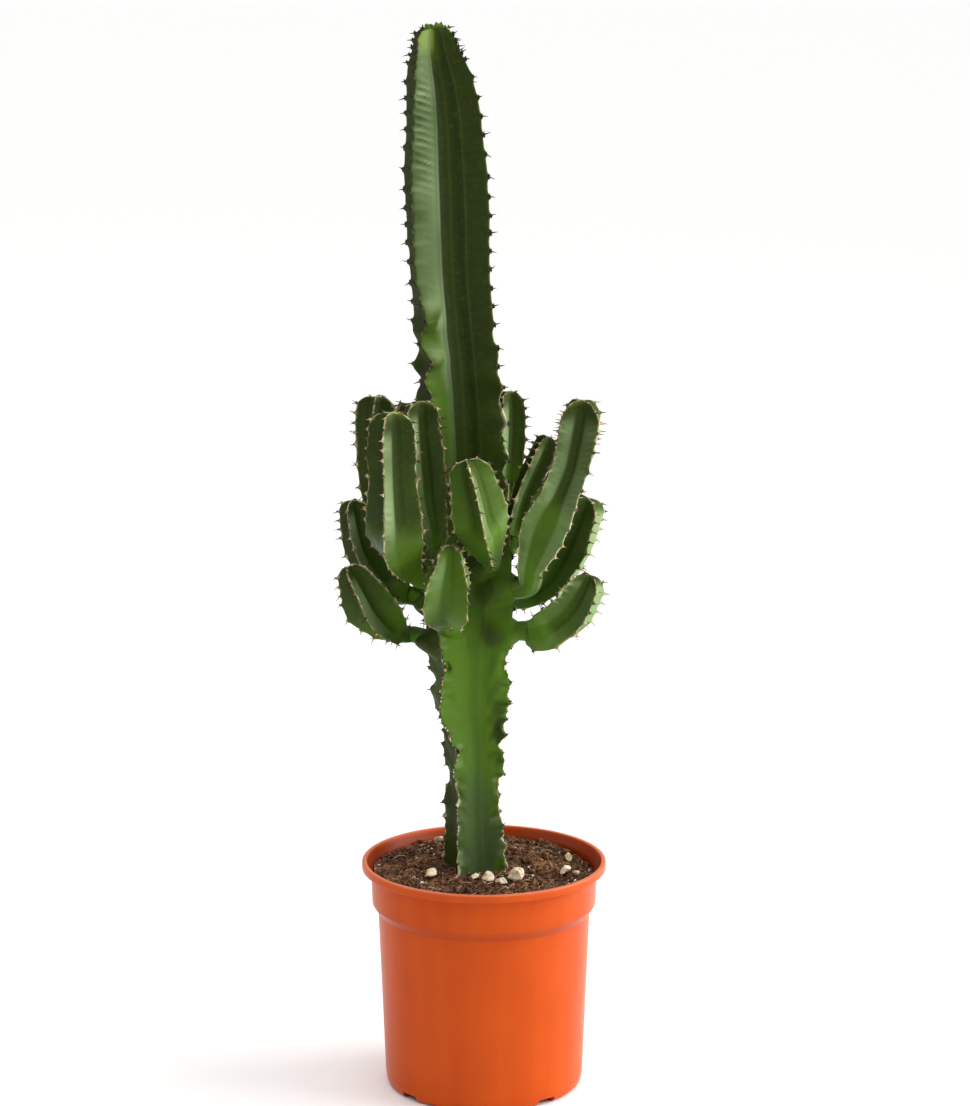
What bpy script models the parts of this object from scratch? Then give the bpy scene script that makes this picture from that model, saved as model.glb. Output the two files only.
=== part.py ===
# Potted candelabra euphorbia: a ribbed, spiny succulent with a ring of side branches,
# standing in an orange nursery pot filled with soil.
# Frame: metres, +Z up, origin at the centre of the pot's underside, front of the plant at -Y.

import math
import random

import bmesh
import bpy
import numpy as np
from mathutils import Matrix, Vector
from mathutils.bvhtree import BVHTree

mm = 0.001
contact_gap = 0.3 * mm

# Pot
turn_steps = 40
pot_rim_radius = 120 * mm
pot_height = 228.5 * mm
pot_lip_height = 8 * mm
pot_wall = 2.2 * mm
pot_band_radius_top = 111 * mm
pot_band_radius_low = 110 * mm
pot_band_low = 186 * mm
pot_shoulder_radius = 104.2 * mm
pot_shoulder_low = 177.5 * mm
pot_base_radius = 97.3 * mm
pot_corner = 7 * mm
pot_corner_share = 0.3
pot_lip_flat = 4.0 * mm
pot_lip_round = 1.5 * mm
pot_lip_under = 1.2 * mm
pot_lip_step = 0.8 * mm
pot_throat_in = 5.2 * mm
pot_throat_down = 2.5 * mm
pot_corner_rise = 2 * mm
pot_inner_rise = 3 * mm
pot_inner_floor_in = 0.5 * mm
pot_inner_down = 0.5 * mm
pot_inner_top_down = 1.5 * mm
drain_slot_count = 4
drain_slot_width = 20 * mm
drain_slot_height = 6.5 * mm
drain_slot_first_turn = math.radians(40)
drain_slot_reach = 19.8 * mm
drain_slot_proud = 4 * mm

# Soil
soil_level = 215.5 * mm
soil_slope = 0.03
soil_lean = -0.03
soil_rings = [0, 22, 42, 60, 76, 90, 100]
soil_gap = 0.4 * mm
soil_edge_in = 0.6 * mm
soil_top_band = 0.1 * mm
soil_wave_height = 1.6 * mm
soil_wave_x = 17 * mm
soil_wave_y = 21 * mm
soil_wave_start_x = 1.0
soil_wave_start_y = 0.5
soil_ripple_height = 1.0 * mm
soil_ripple_size = 11 * mm
soil_mound_height = -2 * mm
soil_mound_size = 45 * mm
soil_mound_x = -8 * mm
soil_heap_height = 3 * mm
soil_heap_size = 45 * mm
soil_heap_x = 15 * mm
soil_heap_y = 60 * mm

# Stem and branches. A route row is x, y, z and rib radius in millimetres, from foot to tip.
plant_shift = Vector((0, 12, -6)) * mm
rib_count = 4
flank_angle = math.radians(23)
flank_share = 0.51
full_flank_share = 0.70
full_fade = 0.12
branch_pitch = 17 * mm
branch_tooth = 1.5 * mm
stem_pitch = 18.5 * mm
stem_tooth = 1.8 * mm
route_samples = 24
tangent_step = 0.5 * mm
dome_ring_shares = [0.45, 0.12]
stub_sides = 10
stub_drop = 8 * mm
stub_shares = [0.25, 0.7, 1.0]
stem_space_gap = 0.8 * mm

stem_route = [
    (-7, 0, 156, 31), (-7.5, 0, 200, 34), (-8, 0, 222, 35), (-9.5, 0, 262, 32.5), (-10, 0, 300, 31.5),
    (-10, 0, 342, 34), (-12, 0, 368, 37), (-15, 0, 393, 42), (-14.5, 0, 425, 47.5), (-15, 0, 455, 51),
    (-16.5, 0, 493, 53.5), (-18, 0, 560, 53), (-19, 0, 612, 51), (-21.5, 0, 670, 50), (-24, 0, 714, 49.5),
    (-28.5, 0, 764, 49), (-32, 0, 815, 49.5), (-33.5, 0, 865, 50.5), (-35, 0, 915, 50.5), (-37, 0, 965, 45),
    (-40, 0, 995, 40), (-43.5, 0, 1014, 35), (-46, 0, 1032, 28), (-47.5, 0, 1052, 22),
]
stem_turn = math.radians(40)
stem_twist = math.radians(10.5)
stem_dome = 0.55
lobe_height = 4.5 * mm
lobe_pitch = 33 * mm
lobe_middle = 665 * mm
lobe_spread = 75 * mm
lobe_rib_turn = 1.3
# The old trunk is fuller than the column, and its crests are ragged: height and how far they stand out, mm.
trunk_top = 480 * mm
trunk_fade = 100 * mm
trunk_full = 0.5
right_crest = [
    (205, 2.3), (240, 0.5), (277, 0), (291, -2.3), (311, -2.6), (317, 2.6), (332, 2.6), (344, -5.7),
    (354, 4.2), (364, 1.9), (378, 5.3), (388, 7.0), (397, 1.1), (410, 1.5), (429, -8), (455, 0),
]
left_crest = [
    (210, 1.5), (262, 2.6), (282, 3.4), (302, -0.8), (316, -3), (326, 1.9), (343, 1.5), (360, -3),
    (370, -3.8), (378, 1.5), (384, 1.5), (394, -0.4), (402, -6), (410, -0.4), (421, 0.8), (440, 0),
]
trunk_crests = [right_crest, left_crest, left_crest, right_crest]

branches = {
    "branch_left_back_high": (8, [
        (-70, 30, 511, 7), (-80, 46, 526, 13), (-92, 60, 552, 18), (-103, 66, 598, 21),
        (-106, 66, 648, 21), (-105, 64, 685, 20)]),
    "branch_left_front_high": (19, [
        (-56, -54, 526, 8), (-73, -77, 546, 17), (-83, -111, 577, 28), (-84, -125, 603, 29),
        (-85, -131, 628, 25.5), (-86, -134, 667, 25), (-86, -134, 708, 23)]),
    "branch_front_high": (40, [
        (-45, -54, 549, 8), (-46, -71, 574, 15), (-52, -79, 610, 23), (-55, -81, 644, 25),
        (-58, -81, 678, 24), (-59, -80, 708, 22)]),
    "branch_left_inner": (45, [
        (-69, 25, 582, 6), (-75, 9, 600, 12), (-76, -12, 634, 15.5), (-75, -18, 665, 16),
        (-74, -18, 694, 15)]),
    "branch_front_middle": (-5, [
        (6, -40, 539, 9), (2, -75, 566, 19), (-3, -102, 593, 27), (-7, -110, 616, 26),
        (-12, -112, 638, 22.5), (-17, -112, 658, 20)]),
    "branch_front_low": (45, [
        (-41, -56, 485, 8), (-39, -73, 494, 14), (-36, -92, 511, 29), (-34, -104, 535, 28),
        (-32, -108, 557, 19), (-32, -108, 575, 14)]),
    "branch_left_middle": (20, [
        (-68, 29, 490, 9), (-82, 31, 494, 15), (-102, 34, 510, 21), (-117, 35, 534, 20.5),
        (-124, 34, 561, 18.5), (-129, 32, 588, 16)]),
    "branch_left_low": (10, [
        (-67, 27, 452, 8), (-80, 23, 453, 11), (-93, 12, 463, 20), (-109, 0, 484, 27),
        (-120, -6, 506, 22), (-128, -8, 522, 16), (-132, -8, 531, 12)]),
    "branch_right_high": (50, [
        (38, -33, 515, 11), (46, -40, 538, 18), (58, -49, 576, 30), (72, -54, 609, 27),
        (83, -56, 638, 25), (89, -58, 668, 26), (92, -58, 687, 25), (93, -58, 705, 23)]),
    "branch_right_inner": (30, [
        (19, 2, 540, 7), (26, 2, 550, 10), (31, 2, 570, 13), (37, 3, 592, 14), (46, 5, 614, 14.5),
        (56, 7, 636, 14), (63, 8, 656, 12)]),
    "branch_back_high": (20, [
        (11, 54, 561, 7), (17, 68, 578, 14), (22, 73, 612, 18), (24, 74, 651, 18.5), (24, 74, 688, 17)]),
    "branch_right_middle": (-28, [
        (14, 54, 478, 8), (29, 55, 479, 10), (45, 54, 484, 15), (66, 50, 504, 24), (82, 48, 532, 28),
        (94, 46, 562, 26), (102, 44, 588, 23)]),
    "branch_right_low": (60, [
        (38, -29, 470, 10), (47, -33, 470, 19), (62, -38, 474, 27), (83, -42, 491, 27),
        (96, -44, 512, 22), (103, -44, 531, 18)]),
}
# The young foot of a branch is fuller, with flatter faces, up to this share of its length.
full_foot = {
    "branch_left_front_high": 0.42, "branch_front_middle": 0.5, "branch_front_low": 0.2,
    "branch_right_high": 0.42, "branch_right_low": 0.25, "branch_left_low": 0.2,
}
usual_full_foot = 0.15
branch_dome = 0.9
branch_round_length = 1.6 * branch_pitch

# Spines
spine_reach = 6 * mm
spine_root = 3.5 * mm
spine_radius = 0.75 * mm
spine_outward = 0.72
spine_across = 0.62
spine_along = 0.3
first_spine_ring = 2
branch_spine_every = 4
stem_spine_every = 4
first_spine_height = 245 * mm

# Stones: x, y and width in millimetres
stones = [
    (-52, -20, 14), (-9, -24, 9), (4, -26, 14), (17, -34, 12), (31, -27, 22), (80, -2, 13),
    (90, -6, 8), (84, 40, 11), (-45, 80, 11),
]
stone_seed = 7
stone_unevenness = 0.06
stone_depth_share = (0.7, 0.9)
stone_height_share = (0.6, 0.75)
stone_start_height = 20 * mm

part_collection = bpy.data.collections.new("potted_candelabra_euphorbia")
cutter_collection = bpy.data.collections.new("cutters")
spine_collection = bpy.data.collections.new("spines_to_join")

# Filled while the pieces are made
stub_parts = []
ground_corners = []


def clear_scene():
    for thing in list(bpy.data.objects):
        bpy.data.objects.remove(thing, do_unlink=True)
    for collection in (part_collection, cutter_collection, spine_collection):
        bpy.context.scene.collection.children.link(collection)


def make_material(name, colour, roughness):
    material = bpy.data.materials.new(name)
    material.use_nodes = True
    shader = material.node_tree.nodes["Principled BSDF"]
    shader.inputs["Base Color"].default_value = (*colour, 1.0)
    shader.inputs["Roughness"].default_value = roughness
    shader.inputs["Metallic"].default_value = 0.0
    return material


def object_from_bmesh(name, shape, collection):
    mesh = bpy.data.meshes.new(name)
    shape.to_mesh(mesh)
    shape.free()
    thing = bpy.data.objects.new(name, mesh)
    collection.objects.link(thing)
    return thing


def apply_modifiers(thing):
    graph = bpy.context.evaluated_depsgraph_get()
    mesh = bpy.data.meshes.new_from_object(thing.evaluated_get(graph))
    thing.modifiers.clear()
    thing.data = mesh


def as_cutter(thing):
    thing.hide_render = True
    thing.display_type = "WIRE"


def cut(thing, cutter):
    modifier = thing.modifiers.new("cut_" + cutter.name, "BOOLEAN")
    modifier.operation = "DIFFERENCE"
    modifier.object = cutter


def finish(thing, material, sharp_angle):
    thing.data.materials.clear()
    thing.data.materials.append(material)
    thing.data.shade_smooth()
    thing.data.set_sharp_from_angle(angle=sharp_angle)


# A profile of radius and height pairs, turned about the Z axis into a solid.
def turned(name, profile, collection):
    shape = bmesh.new()
    points = [shape.verts.new((radius, 0, height)) for radius, height in profile]
    for first, second in zip(points, points[1:]):
        shape.edges.new((first, second))
    thing = object_from_bmesh(name, shape, collection)
    screw = thing.modifiers.new("turn", "SCREW")
    screw.steps = turn_steps
    screw.render_steps = turn_steps
    screw.use_merge_vertices = True
    screw.merge_threshold = 0.00001
    return thing


def pot_outside():
    lip_low = pot_height - pot_lip_height
    return [
        (pot_rim_radius - pot_lip_flat, pot_height),
        (pot_rim_radius - pot_lip_round, pot_height),
        (pot_rim_radius, pot_height - pot_lip_round),
        (pot_rim_radius, lip_low + pot_lip_under),
        (pot_rim_radius - pot_lip_under, lip_low),
        (pot_band_radius_top, lip_low - pot_lip_step),
        (pot_band_radius_low, pot_band_low),
        (pot_shoulder_radius, pot_shoulder_low),
        (pot_base_radius, pot_corner + pot_corner_rise),
        (pot_base_radius - pot_corner_share * pot_corner, pot_corner_share * pot_corner),
        (pot_base_radius - pot_corner, 0),
        (0, 0),
    ]


def pot_inside(gap):
    step = pot_wall + gap
    return [
        (0, step),
        (pot_base_radius - pot_corner - pot_inner_floor_in, step),
        (pot_base_radius - pot_corner_share * pot_corner - step, pot_corner_share * pot_corner + step / 2),
        (pot_base_radius - step, pot_corner + pot_inner_rise),
        (pot_shoulder_radius - step, pot_shoulder_low - pot_inner_down),
        (pot_band_radius_low - step, pot_band_low - pot_inner_down),
        (pot_band_radius_top - step, pot_height - pot_lip_height - pot_inner_top_down),
    ]


def make_pot(material):
    throat = (pot_rim_radius - pot_throat_in, pot_height - pot_throat_down)
    pot = turned("pot", pot_inside(0) + [throat] + pot_outside(), part_collection)
    for number in range(drain_slot_count):
        angle = drain_slot_first_turn + number * math.tau / drain_slot_count
        size = (drain_slot_reach, drain_slot_width, 2 * drain_slot_height)
        shape = bmesh.new()
        bmesh.ops.create_cube(shape, size=1.0)
        bmesh.ops.scale(shape, vec=size, verts=shape.verts)
        centre = pot_base_radius + drain_slot_proud - drain_slot_reach / 2
        bmesh.ops.translate(shape, vec=(centre, 0, 0), verts=shape.verts)
        bmesh.ops.rotate(shape, matrix=Matrix.Rotation(angle, 3, "Z"), verts=shape.verts)
        slot = object_from_bmesh("drain_slot_%d" % (number + 1), shape, cutter_collection)
        as_cutter(slot)
        cut(pot, slot)
    finish(pot, material, math.radians(40))
    return pot


# The soil's surface: low waves, a hollow round the stem, raised a little towards the back and the left.
def soil_height(x, y):
    across = math.sin(x / soil_wave_x + soil_wave_start_x)
    along = math.cos(y / soil_wave_y + soil_wave_start_y)
    ripple = math.sin((x + y) / soil_ripple_size)
    away = math.hypot(x - soil_mound_x, y - plant_shift.y) / soil_mound_size
    aside = math.hypot(x - soil_heap_x, y - soil_heap_y) / soil_heap_size
    waves = soil_wave_height * across * along + soil_ripple_height * ripple
    mounds = soil_mound_height * math.exp(-(away ** 2)) + soil_heap_height * math.exp(-(aside ** 2))
    return soil_level + soil_slope * y + soil_lean * x + waves + mounds


def make_soil(material, stem_space):
    wall_side = pot_inside(soil_gap)
    edge = (wall_side[-1][0] - soil_edge_in, soil_level)
    top = [(radius * mm, soil_level) for radius in soil_rings] + [edge]
    soil = turned("soil", top + list(reversed(wall_side[:-1])), part_collection)
    apply_modifiers(soil)
    for vertex in soil.data.vertices:
        if vertex.co.z > soil_level - soil_top_band:
            vertex.co.z = soil_height(vertex.co.x, vertex.co.y)
    cut(soil, stem_space)
    finish(soil, material, math.radians(60))
    return soil


# A smooth curve through a route's rows, as rows of x, y, z and rib radius in metres.
def smooth_route(rows):
    knots = np.array(rows, dtype=float) * mm
    knots[:, :3] += np.array(plant_shift)
    ends = np.vstack([2 * knots[0] - knots[1], knots, 2 * knots[-1] - knots[-2]])
    curve = []
    for before, start, stop, after in zip(ends, ends[1:], ends[2:], ends[3:]):
        for share in np.linspace(0, 1, route_samples, endpoint=False):
            bend = 2 * before - 5 * start + 4 * stop - after
            swing = 3 * start - before - 3 * stop + after
            curve.append(start + 0.5 * share * ((stop - before) + share * (bend + share * swing)))
    curve.append(knots[-1])
    return np.array(curve)


def lengths_along(curve):
    steps = np.linalg.norm(np.diff(curve[:, :3], axis=0), axis=1)
    return np.concatenate([[0], np.cumsum(steps)])


def sample(curve, distances):
    along = lengths_along(curve)
    return np.array([np.interp(distances, along, column) for column in curve.T]).T


# Directions along the curve, and a sideways direction that turns as little as it can,
# set at the tip so that a rib there lies at the given turn from +X towards the front.
def frames(curve, distances, turn):
    ahead = sample(curve, distances + tangent_step)[:, :3]
    behind = sample(curve, distances - tangent_step)[:, :3]
    forward = ahead - behind
    forward /= np.linalg.norm(forward, axis=1)[:, None]
    side = np.zeros_like(forward)
    guide = np.array([math.cos(turn), -math.sin(turn), 0.0])
    for index in range(len(forward) - 1, -1, -1):
        guide = guide - forward[index] * guide.dot(forward[index])
        guide /= np.linalg.norm(guide)
        side[index] = guide
    return forward, side, np.cross(forward, side)


def smooth_step(value):
    share = min(max(value, 0.0), 1.0)
    return share * share * (3 - 2 * share)


class Stem:
    def __init__(self, rows, turn, twist, dome, pitch, tooth, start, round_length, full_to):
        self.curve = smooth_route(rows)
        self.length = lengths_along(self.curve)[-1]
        self.pitch = pitch
        self.tooth = tooth
        self.dome_length = dome * rows[-1][3] * mm
        self.start = start
        self.round_length = round_length
        self.lobed = full_to < 0
        self.full_to = full_to
        half = pitch / 2
        shoulder = self.length - self.dome_length
        count = max(4, round((shoulder - start) / half))
        self.distances = np.concatenate([
            np.linspace(start, shoulder, count + 1),
            self.length - self.dome_length * np.array(dome_ring_shares),
        ])
        self.places = sample(self.curve, self.distances)
        self.forward, self.side, self.depth = frames(self.curve, self.distances, turn)
        self.turns = twist * (1 - self.distances / self.length)

    def dome_share(self, distance):
        past = max(0.0, distance - (self.length - self.dome_length)) / self.dome_length
        return math.sqrt(max(0.0, 1 - past * past))

    def lobe(self, height, rib):
        if not self.lobed:
            return 0.0
        spread = math.exp(-(((height - lobe_middle) / lobe_spread) ** 2))
        return lobe_height * spread * math.sin(math.tau * height / lobe_pitch + lobe_rib_turn * rib)

    def trunk_edge(self, height, rib):
        if not self.lobed:
            return 0.0
        share = smooth_step((trunk_top - height) / trunk_fade)
        heights, reaches = zip(*trunk_crests[rib])
        return share * float(np.interp(height / mm, heights, reaches)) * mm

    # One ring of twelve points: for each rib its crest and the two flanks of the groove after it.
    def ring(self, index, grow):
        distance = self.distances[index]
        radius = self.places[index][3] * self.dome_share(distance)
        ribbed = 1.0
        if self.round_length > 0:
            ribbed = smooth_step((distance - self.start) / self.round_length)
        along = (distance - self.start) / (self.length - self.start)
        full = 1 - smooth_step((along - self.full_to) / full_fade)
        if self.lobed:
            full = trunk_full * smooth_step((trunk_top - self.places[index][2]) / trunk_fade)
        share = flank_share + (full_flank_share - flank_share) * full
        points = []
        for rib in range(rib_count):
            sign = 1 if (index + rib) % 2 == 0 else -1
            tooth = ribbed * self.dome_share(distance) * self.tooth * sign
            crest = radius + tooth + ribbed * self.lobe(self.places[index][2], rib) + grow
            crest += self.trunk_edge(self.places[index][2], rib)
            flank = radius * (1 + ribbed * (share - 1)) + grow
            base_angle = rib * math.tau / rib_count + self.turns[index]
            wide = math.tau / rib_count
            for angle, reach in (
                (0, crest),
                (flank_angle, flank),
                (wide - flank_angle, flank),
            ):
                points.append(self.point(index, base_angle + angle, reach))
        return points

    def point(self, index, angle, reach):
        outward = math.cos(angle) * self.side[index] + math.sin(angle) * self.depth[index]
        return Vector(self.places[index][:3] + reach * outward)

    def is_areole(self, index, rib):
        return (index + rib) % 2 == 0

    def solid(self, name, collection, grow=0.0):
        shape = bmesh.new()
        rings = []
        for index in range(len(self.distances)):
            lower = Vector((0, 0, grow)) if index == 0 else Vector()
            rings.append([shape.verts.new(point - lower) for point in self.ring(index, grow)])
        join_rings(shape, rings)
        return object_from_bmesh(name, shape, collection)


def join_rings(shape, rings):
    count = len(rings[0])
    for lower, upper in zip(rings, rings[1:]):
        for index in range(count):
            following = (index + 1) % count
            shape.faces.new((lower[index], lower[following], upper[following], upper[index]))
    shape.faces.new(list(reversed(rings[0])))
    shape.faces.new(rings[-1])
    bmesh.ops.recalc_face_normals(shape, faces=shape.faces)
    bmesh.ops.triangulate(shape, faces=shape.faces)


# One three-sided spine from its root to its tip.
def add_spine(shape, root, tip):
    way = tip - root
    turn = way.to_track_quat("Z", "Y").to_matrix().to_4x4()
    middle = Matrix.Translation((root + tip) / 2) @ turn
    bmesh.ops.create_cone(
        shape, cap_ends=True, cap_tris=True, segments=3,
        radius1=spine_radius, radius2=0.0, depth=way.length, matrix=middle)


# Pairs of spines on the rib crests, set apart left and right in two objects to be joined.
def make_spines(stem, every, lowest):
    for hand in (-1, 1):
        shape = bmesh.new()
        for index in range(first_spine_ring, len(stem.distances) - 1):
            for rib in range(rib_count):
                turn_of = (index - rib) // 2 + 2 * rib
                near_tip = index >= len(stem.distances) - 3
                if not stem.is_areole(index, rib):
                    continue
                if turn_of % every and not near_tip:
                    continue
                crest = stem.ring(index, 0.0)[3 * rib]
                if crest.z < lowest:
                    continue
                centre = Vector(stem.places[index][:3])
                outward = (crest - centre).normalized()
                along = Vector(stem.forward[index])
                across = along.cross(outward)
                way = outward * spine_outward + across * spine_across * hand + along * spine_along
                tip = crest + way.normalized() * spine_reach
                add_spine(shape, crest - outward * spine_root, tip)
        bmesh.ops.remove_doubles(shape, verts=shape.verts, dist=0.000001)
        bmesh.ops.recalc_face_normals(shape, faces=shape.faces)
        object_from_bmesh("spines", shape, spine_collection)


# The stub on the main stem that a branch grows from, along the branch's own curve.
def make_stub(stem, curve, neck):
    radius = stem.places[0][3]
    distances = np.array(stub_shares) * neck
    centres = sample(curve, distances)[:, :3]
    forward, side, depth = frames(curve, distances, 0.0)
    centres[-1] -= contact_gap * forward[-1]
    shape = bmesh.new()
    rings = []
    for centre, across, inward in zip(centres, side, depth):
        ring = []
        for number in range(stub_sides):
            angle = number * math.tau / stub_sides
            spread = radius * (math.cos(angle) * across + math.sin(angle) * inward)
            ring.append(shape.verts.new(Vector(centre + spread)))
        rings.append(ring)
    join_rings(shape, rings)
    object_from_bmesh("stub", shape, spine_collection)


def join_waiting(thing):
    union = thing.modifiers.new("join", "BOOLEAN")
    union.operation = "UNION"
    union.operand_type = "COLLECTION"
    union.collection = spine_collection
    union.solver = "MANIFOLD"
    apply_modifiers(thing)
    for waiting in list(spine_collection.objects):
        bpy.data.objects.remove(waiting, do_unlink=True)


# A branch's route begins on the main stem's axis, a little below the branch's neck.
def rooted(rows):
    neck = rows[0]
    height = neck[2] - stub_drop / mm
    axis = sample(np.array(stem_route, dtype=float), np.array([height - stem_route[0][2]]))[0]
    return [(axis[0], axis[1], height, neck[3])] + rows


def make_branch(name, turn, rows, material):
    route = rooted(rows)
    curve = smooth_route(route)
    neck = lengths_along(curve)[route_samples]
    stem = Stem(
        route, math.radians(turn), 0.0, branch_dome, branch_pitch, branch_tooth,
        neck, branch_round_length, full_foot.get(name, usual_full_foot))
    stub_parts.append((stem, curve, neck))
    branch = stem.solid(name, part_collection)
    make_spines(stem, branch_spine_every, 0.0)
    join_waiting(branch)
    finish(branch, material, math.radians(35))


def make_main_stem(material):
    stem = Stem(
        stem_route, stem_turn, stem_twist, stem_dome, stem_pitch, stem_tooth, 0.0, 0.0, -1.0)
    main = stem.solid("main_stem", part_collection)
    for branch, curve, neck in stub_parts:
        make_stub(branch, curve, neck)
    make_spines(stem, stem_spine_every, first_spine_height)
    join_waiting(main)
    finish(main, material, math.radians(35))
    space = stem.solid("stem_space", cutter_collection, stem_space_gap)
    as_cutter(space)
    return space


# A pebble: a flattened ball with uneven radii, lowered until it almost meets the soil.
def make_stone(number, x, y, width, ground, material):
    draw = random.Random(stone_seed + number)
    shape = bmesh.new()
    bmesh.ops.create_icosphere(shape, subdivisions=2, radius=width * mm / 2)
    for vertex in shape.verts:
        vertex.co *= 1 + draw.uniform(-stone_unevenness, stone_unevenness)
    stretch = (1.0, draw.uniform(*stone_depth_share), draw.uniform(*stone_height_share))
    bmesh.ops.scale(shape, vec=stretch, verts=shape.verts)
    turn = Matrix.Rotation(draw.uniform(0, math.tau), 3, "Z")
    bmesh.ops.rotate(shape, matrix=turn, verts=shape.verts)
    above = pot_height + stone_start_height
    bmesh.ops.translate(shape, vec=(x * mm, y * mm, above), verts=shape.verts)
    down = Vector((0, 0, -1))
    drops = [ground.ray_cast(vertex.co, down)[3] for vertex in shape.verts]
    pebble = BVHTree.FromBMesh(shape)
    for corner in ground_corners:
        if math.hypot(corner.x - x * mm, corner.y - y * mm) < width * mm:
            height = pebble.ray_cast(corner, Vector((0, 0, 1)))[3]
            if height is not None:
                drops.append(height)
    fall = min(drop for drop in drops if drop is not None) - contact_gap
    bmesh.ops.translate(shape, vec=(0, 0, -fall), verts=shape.verts)
    stone = object_from_bmesh("stone_%d" % (number + 1), shape, part_collection)
    finish(stone, material, math.radians(50))


def make_stones(soil, material):
    graph = bpy.context.evaluated_depsgraph_get()
    surface = bmesh.new()
    surface.from_mesh(soil.evaluated_get(graph).data)
    bmesh.ops.triangulate(surface, faces=surface.faces)
    ground = BVHTree.FromBMesh(surface)
    ground_corners.extend(vertex.co.copy() for vertex in surface.verts)
    surface.free()
    for number, (x, y, width) in enumerate(stones):
        make_stone(number, x, y, width, ground, material)


def main():
    clear_scene()
    orange = make_material("orange_plastic", (0.62, 0.10, 0.02), 0.28)
    peat = make_material("peat_soil", (0.07, 0.035, 0.018), 0.95)
    dark_green = make_material("euphorbia_skin", (0.05, 0.13, 0.02), 0.5)
    cream = make_material("cream_stone", (0.72, 0.62, 0.45), 0.7)
    for name, (turn, rows) in branches.items():
        make_branch(name, turn, rows, dark_green)
    stem_space = make_main_stem(dark_green)
    make_pot(orange)
    soil = make_soil(peat, stem_space)
    make_stones(soil, cream)


main()
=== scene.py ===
import math
from types import SimpleNamespace

import bmesh
import bpy
import numpy as np
from mathutils import Euler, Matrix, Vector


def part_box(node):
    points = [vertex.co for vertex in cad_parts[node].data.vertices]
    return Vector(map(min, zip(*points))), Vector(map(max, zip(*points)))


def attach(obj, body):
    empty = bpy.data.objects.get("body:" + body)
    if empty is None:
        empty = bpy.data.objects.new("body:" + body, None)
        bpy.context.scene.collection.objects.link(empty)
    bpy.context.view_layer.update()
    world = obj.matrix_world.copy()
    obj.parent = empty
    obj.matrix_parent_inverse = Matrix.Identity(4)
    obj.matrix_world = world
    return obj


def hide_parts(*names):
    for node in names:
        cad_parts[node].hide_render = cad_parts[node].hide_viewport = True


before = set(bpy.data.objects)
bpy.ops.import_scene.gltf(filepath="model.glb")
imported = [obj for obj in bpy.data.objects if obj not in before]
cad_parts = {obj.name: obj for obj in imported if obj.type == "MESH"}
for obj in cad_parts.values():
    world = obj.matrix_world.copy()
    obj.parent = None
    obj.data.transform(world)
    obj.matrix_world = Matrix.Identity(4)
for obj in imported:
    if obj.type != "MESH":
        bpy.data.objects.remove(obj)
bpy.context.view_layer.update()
print("frame loaded with", len(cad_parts), "nodes")

mm = 0.001


# Shared tools

def toLinear(code):
    # sRGB channel c becomes c / 12.92 below 0.04045, otherwise ((c + 0.055) / 1.055) ^ 2.4.
    channels = [int(code[place:place + 2], 16) / 255 for place in (1, 3, 5)]
    light = [c / 12.92 if c <= 0.04045 else ((c + 0.055) / 1.055) ** 2.4 for c in channels]
    return (*light, 1.0)


def feed(tree, node, inputs):
    # Sets a node's inputs from values, hex colours or sockets.
    for key, value in inputs.items():
        if isinstance(value, bpy.types.NodeSocket):
            tree.links.new(value, node.inputs[key])
        else:
            node.inputs[key].default_value = toLinear(value) if isinstance(value, str) else value


def addNode(tree, kind, inputs=None, stops=(), **settings):
    # Adds a node, sets its settings and its ramp's stops, and feeds its inputs.
    node = tree.nodes.new("ShaderNode" + kind)
    for name, value in settings.items():
        setattr(node, name, value)
    for number, (place, code) in enumerate(stops):
        elements = node.color_ramp.elements
        element = elements[number] if number < 2 else elements.new(place)
        element.position = place
        element.color = toLinear(code)
    feed(tree, node, inputs or {})
    return node


def readAttribute(tree, name):
    # A value that the mesh carries at each point.
    return addNode(tree, "Attribute", attribute_name=name).outputs["Fac"]


def addNoise(tree, place, size, detail, roughness=0.5):
    # Features of this size in millimetres, on Object coordinates in metres; mostly between 0.3 and 0.7.
    return addNode(tree, "TexNoise", {"Vector": place, "Scale": 1000.0 / size, "Detail": detail,
                                      "Roughness": roughness}).outputs["Fac"]


def addMath(tree, operation, *values):
    return addNode(tree, "Math", dict(enumerate(values)), operation=operation).outputs[0]


def addRange(tree, value, low, high, first, last):
    # Low becomes first and high becomes last, clamped.
    return addNode(tree, "MapRange", {"Value": value, 1: low, 2: high, 3: first, 4: last}).outputs[0]


def addMix(tree, share, first, second):
    # The first colour where the share is 0, the second where it is 1.
    return addNode(tree, "Mix", {0: share, 6: first, 7: second}, data_type="RGBA").outputs[2]


def addRamp(tree, value, stops):
    return addNode(tree, "ValToRGB", {"Fac": value}, stops).outputs[0]


def addBump(tree, height, strength, distance):
    # The distance is in millimetres.
    return addNode(tree, "Bump", {"Height": height, "Strength": strength,
                                  "Distance": distance * mm}).outputs[0]


def newMaterial(name):
    material = bpy.data.materials.new(name)
    material.use_nodes = True
    tree = material.node_tree
    return material, tree, tree.nodes["Principled BSDF"]


def objectPlace(tree):
    return addNode(tree, "TexCoord").outputs["Object"]


def smoothStep(value):
    # 0 below 0, 1 above 1, and 3t^2 - 2t^3 between.
    share = np.clip(value, 0.0, 1.0)
    return share * share * (3 - 2 * share)


def bell(value, middle, width):
    # exp(-((v - m) / w)^2).
    return np.exp(-(((value - middle) / width) ** 2))


def valueAt(height, rows):
    # The value at heights in metres, on straight lines through rows of height in millimetres and value.
    return np.interp(height / mm, *np.array(rows, dtype=float).T)


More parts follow.
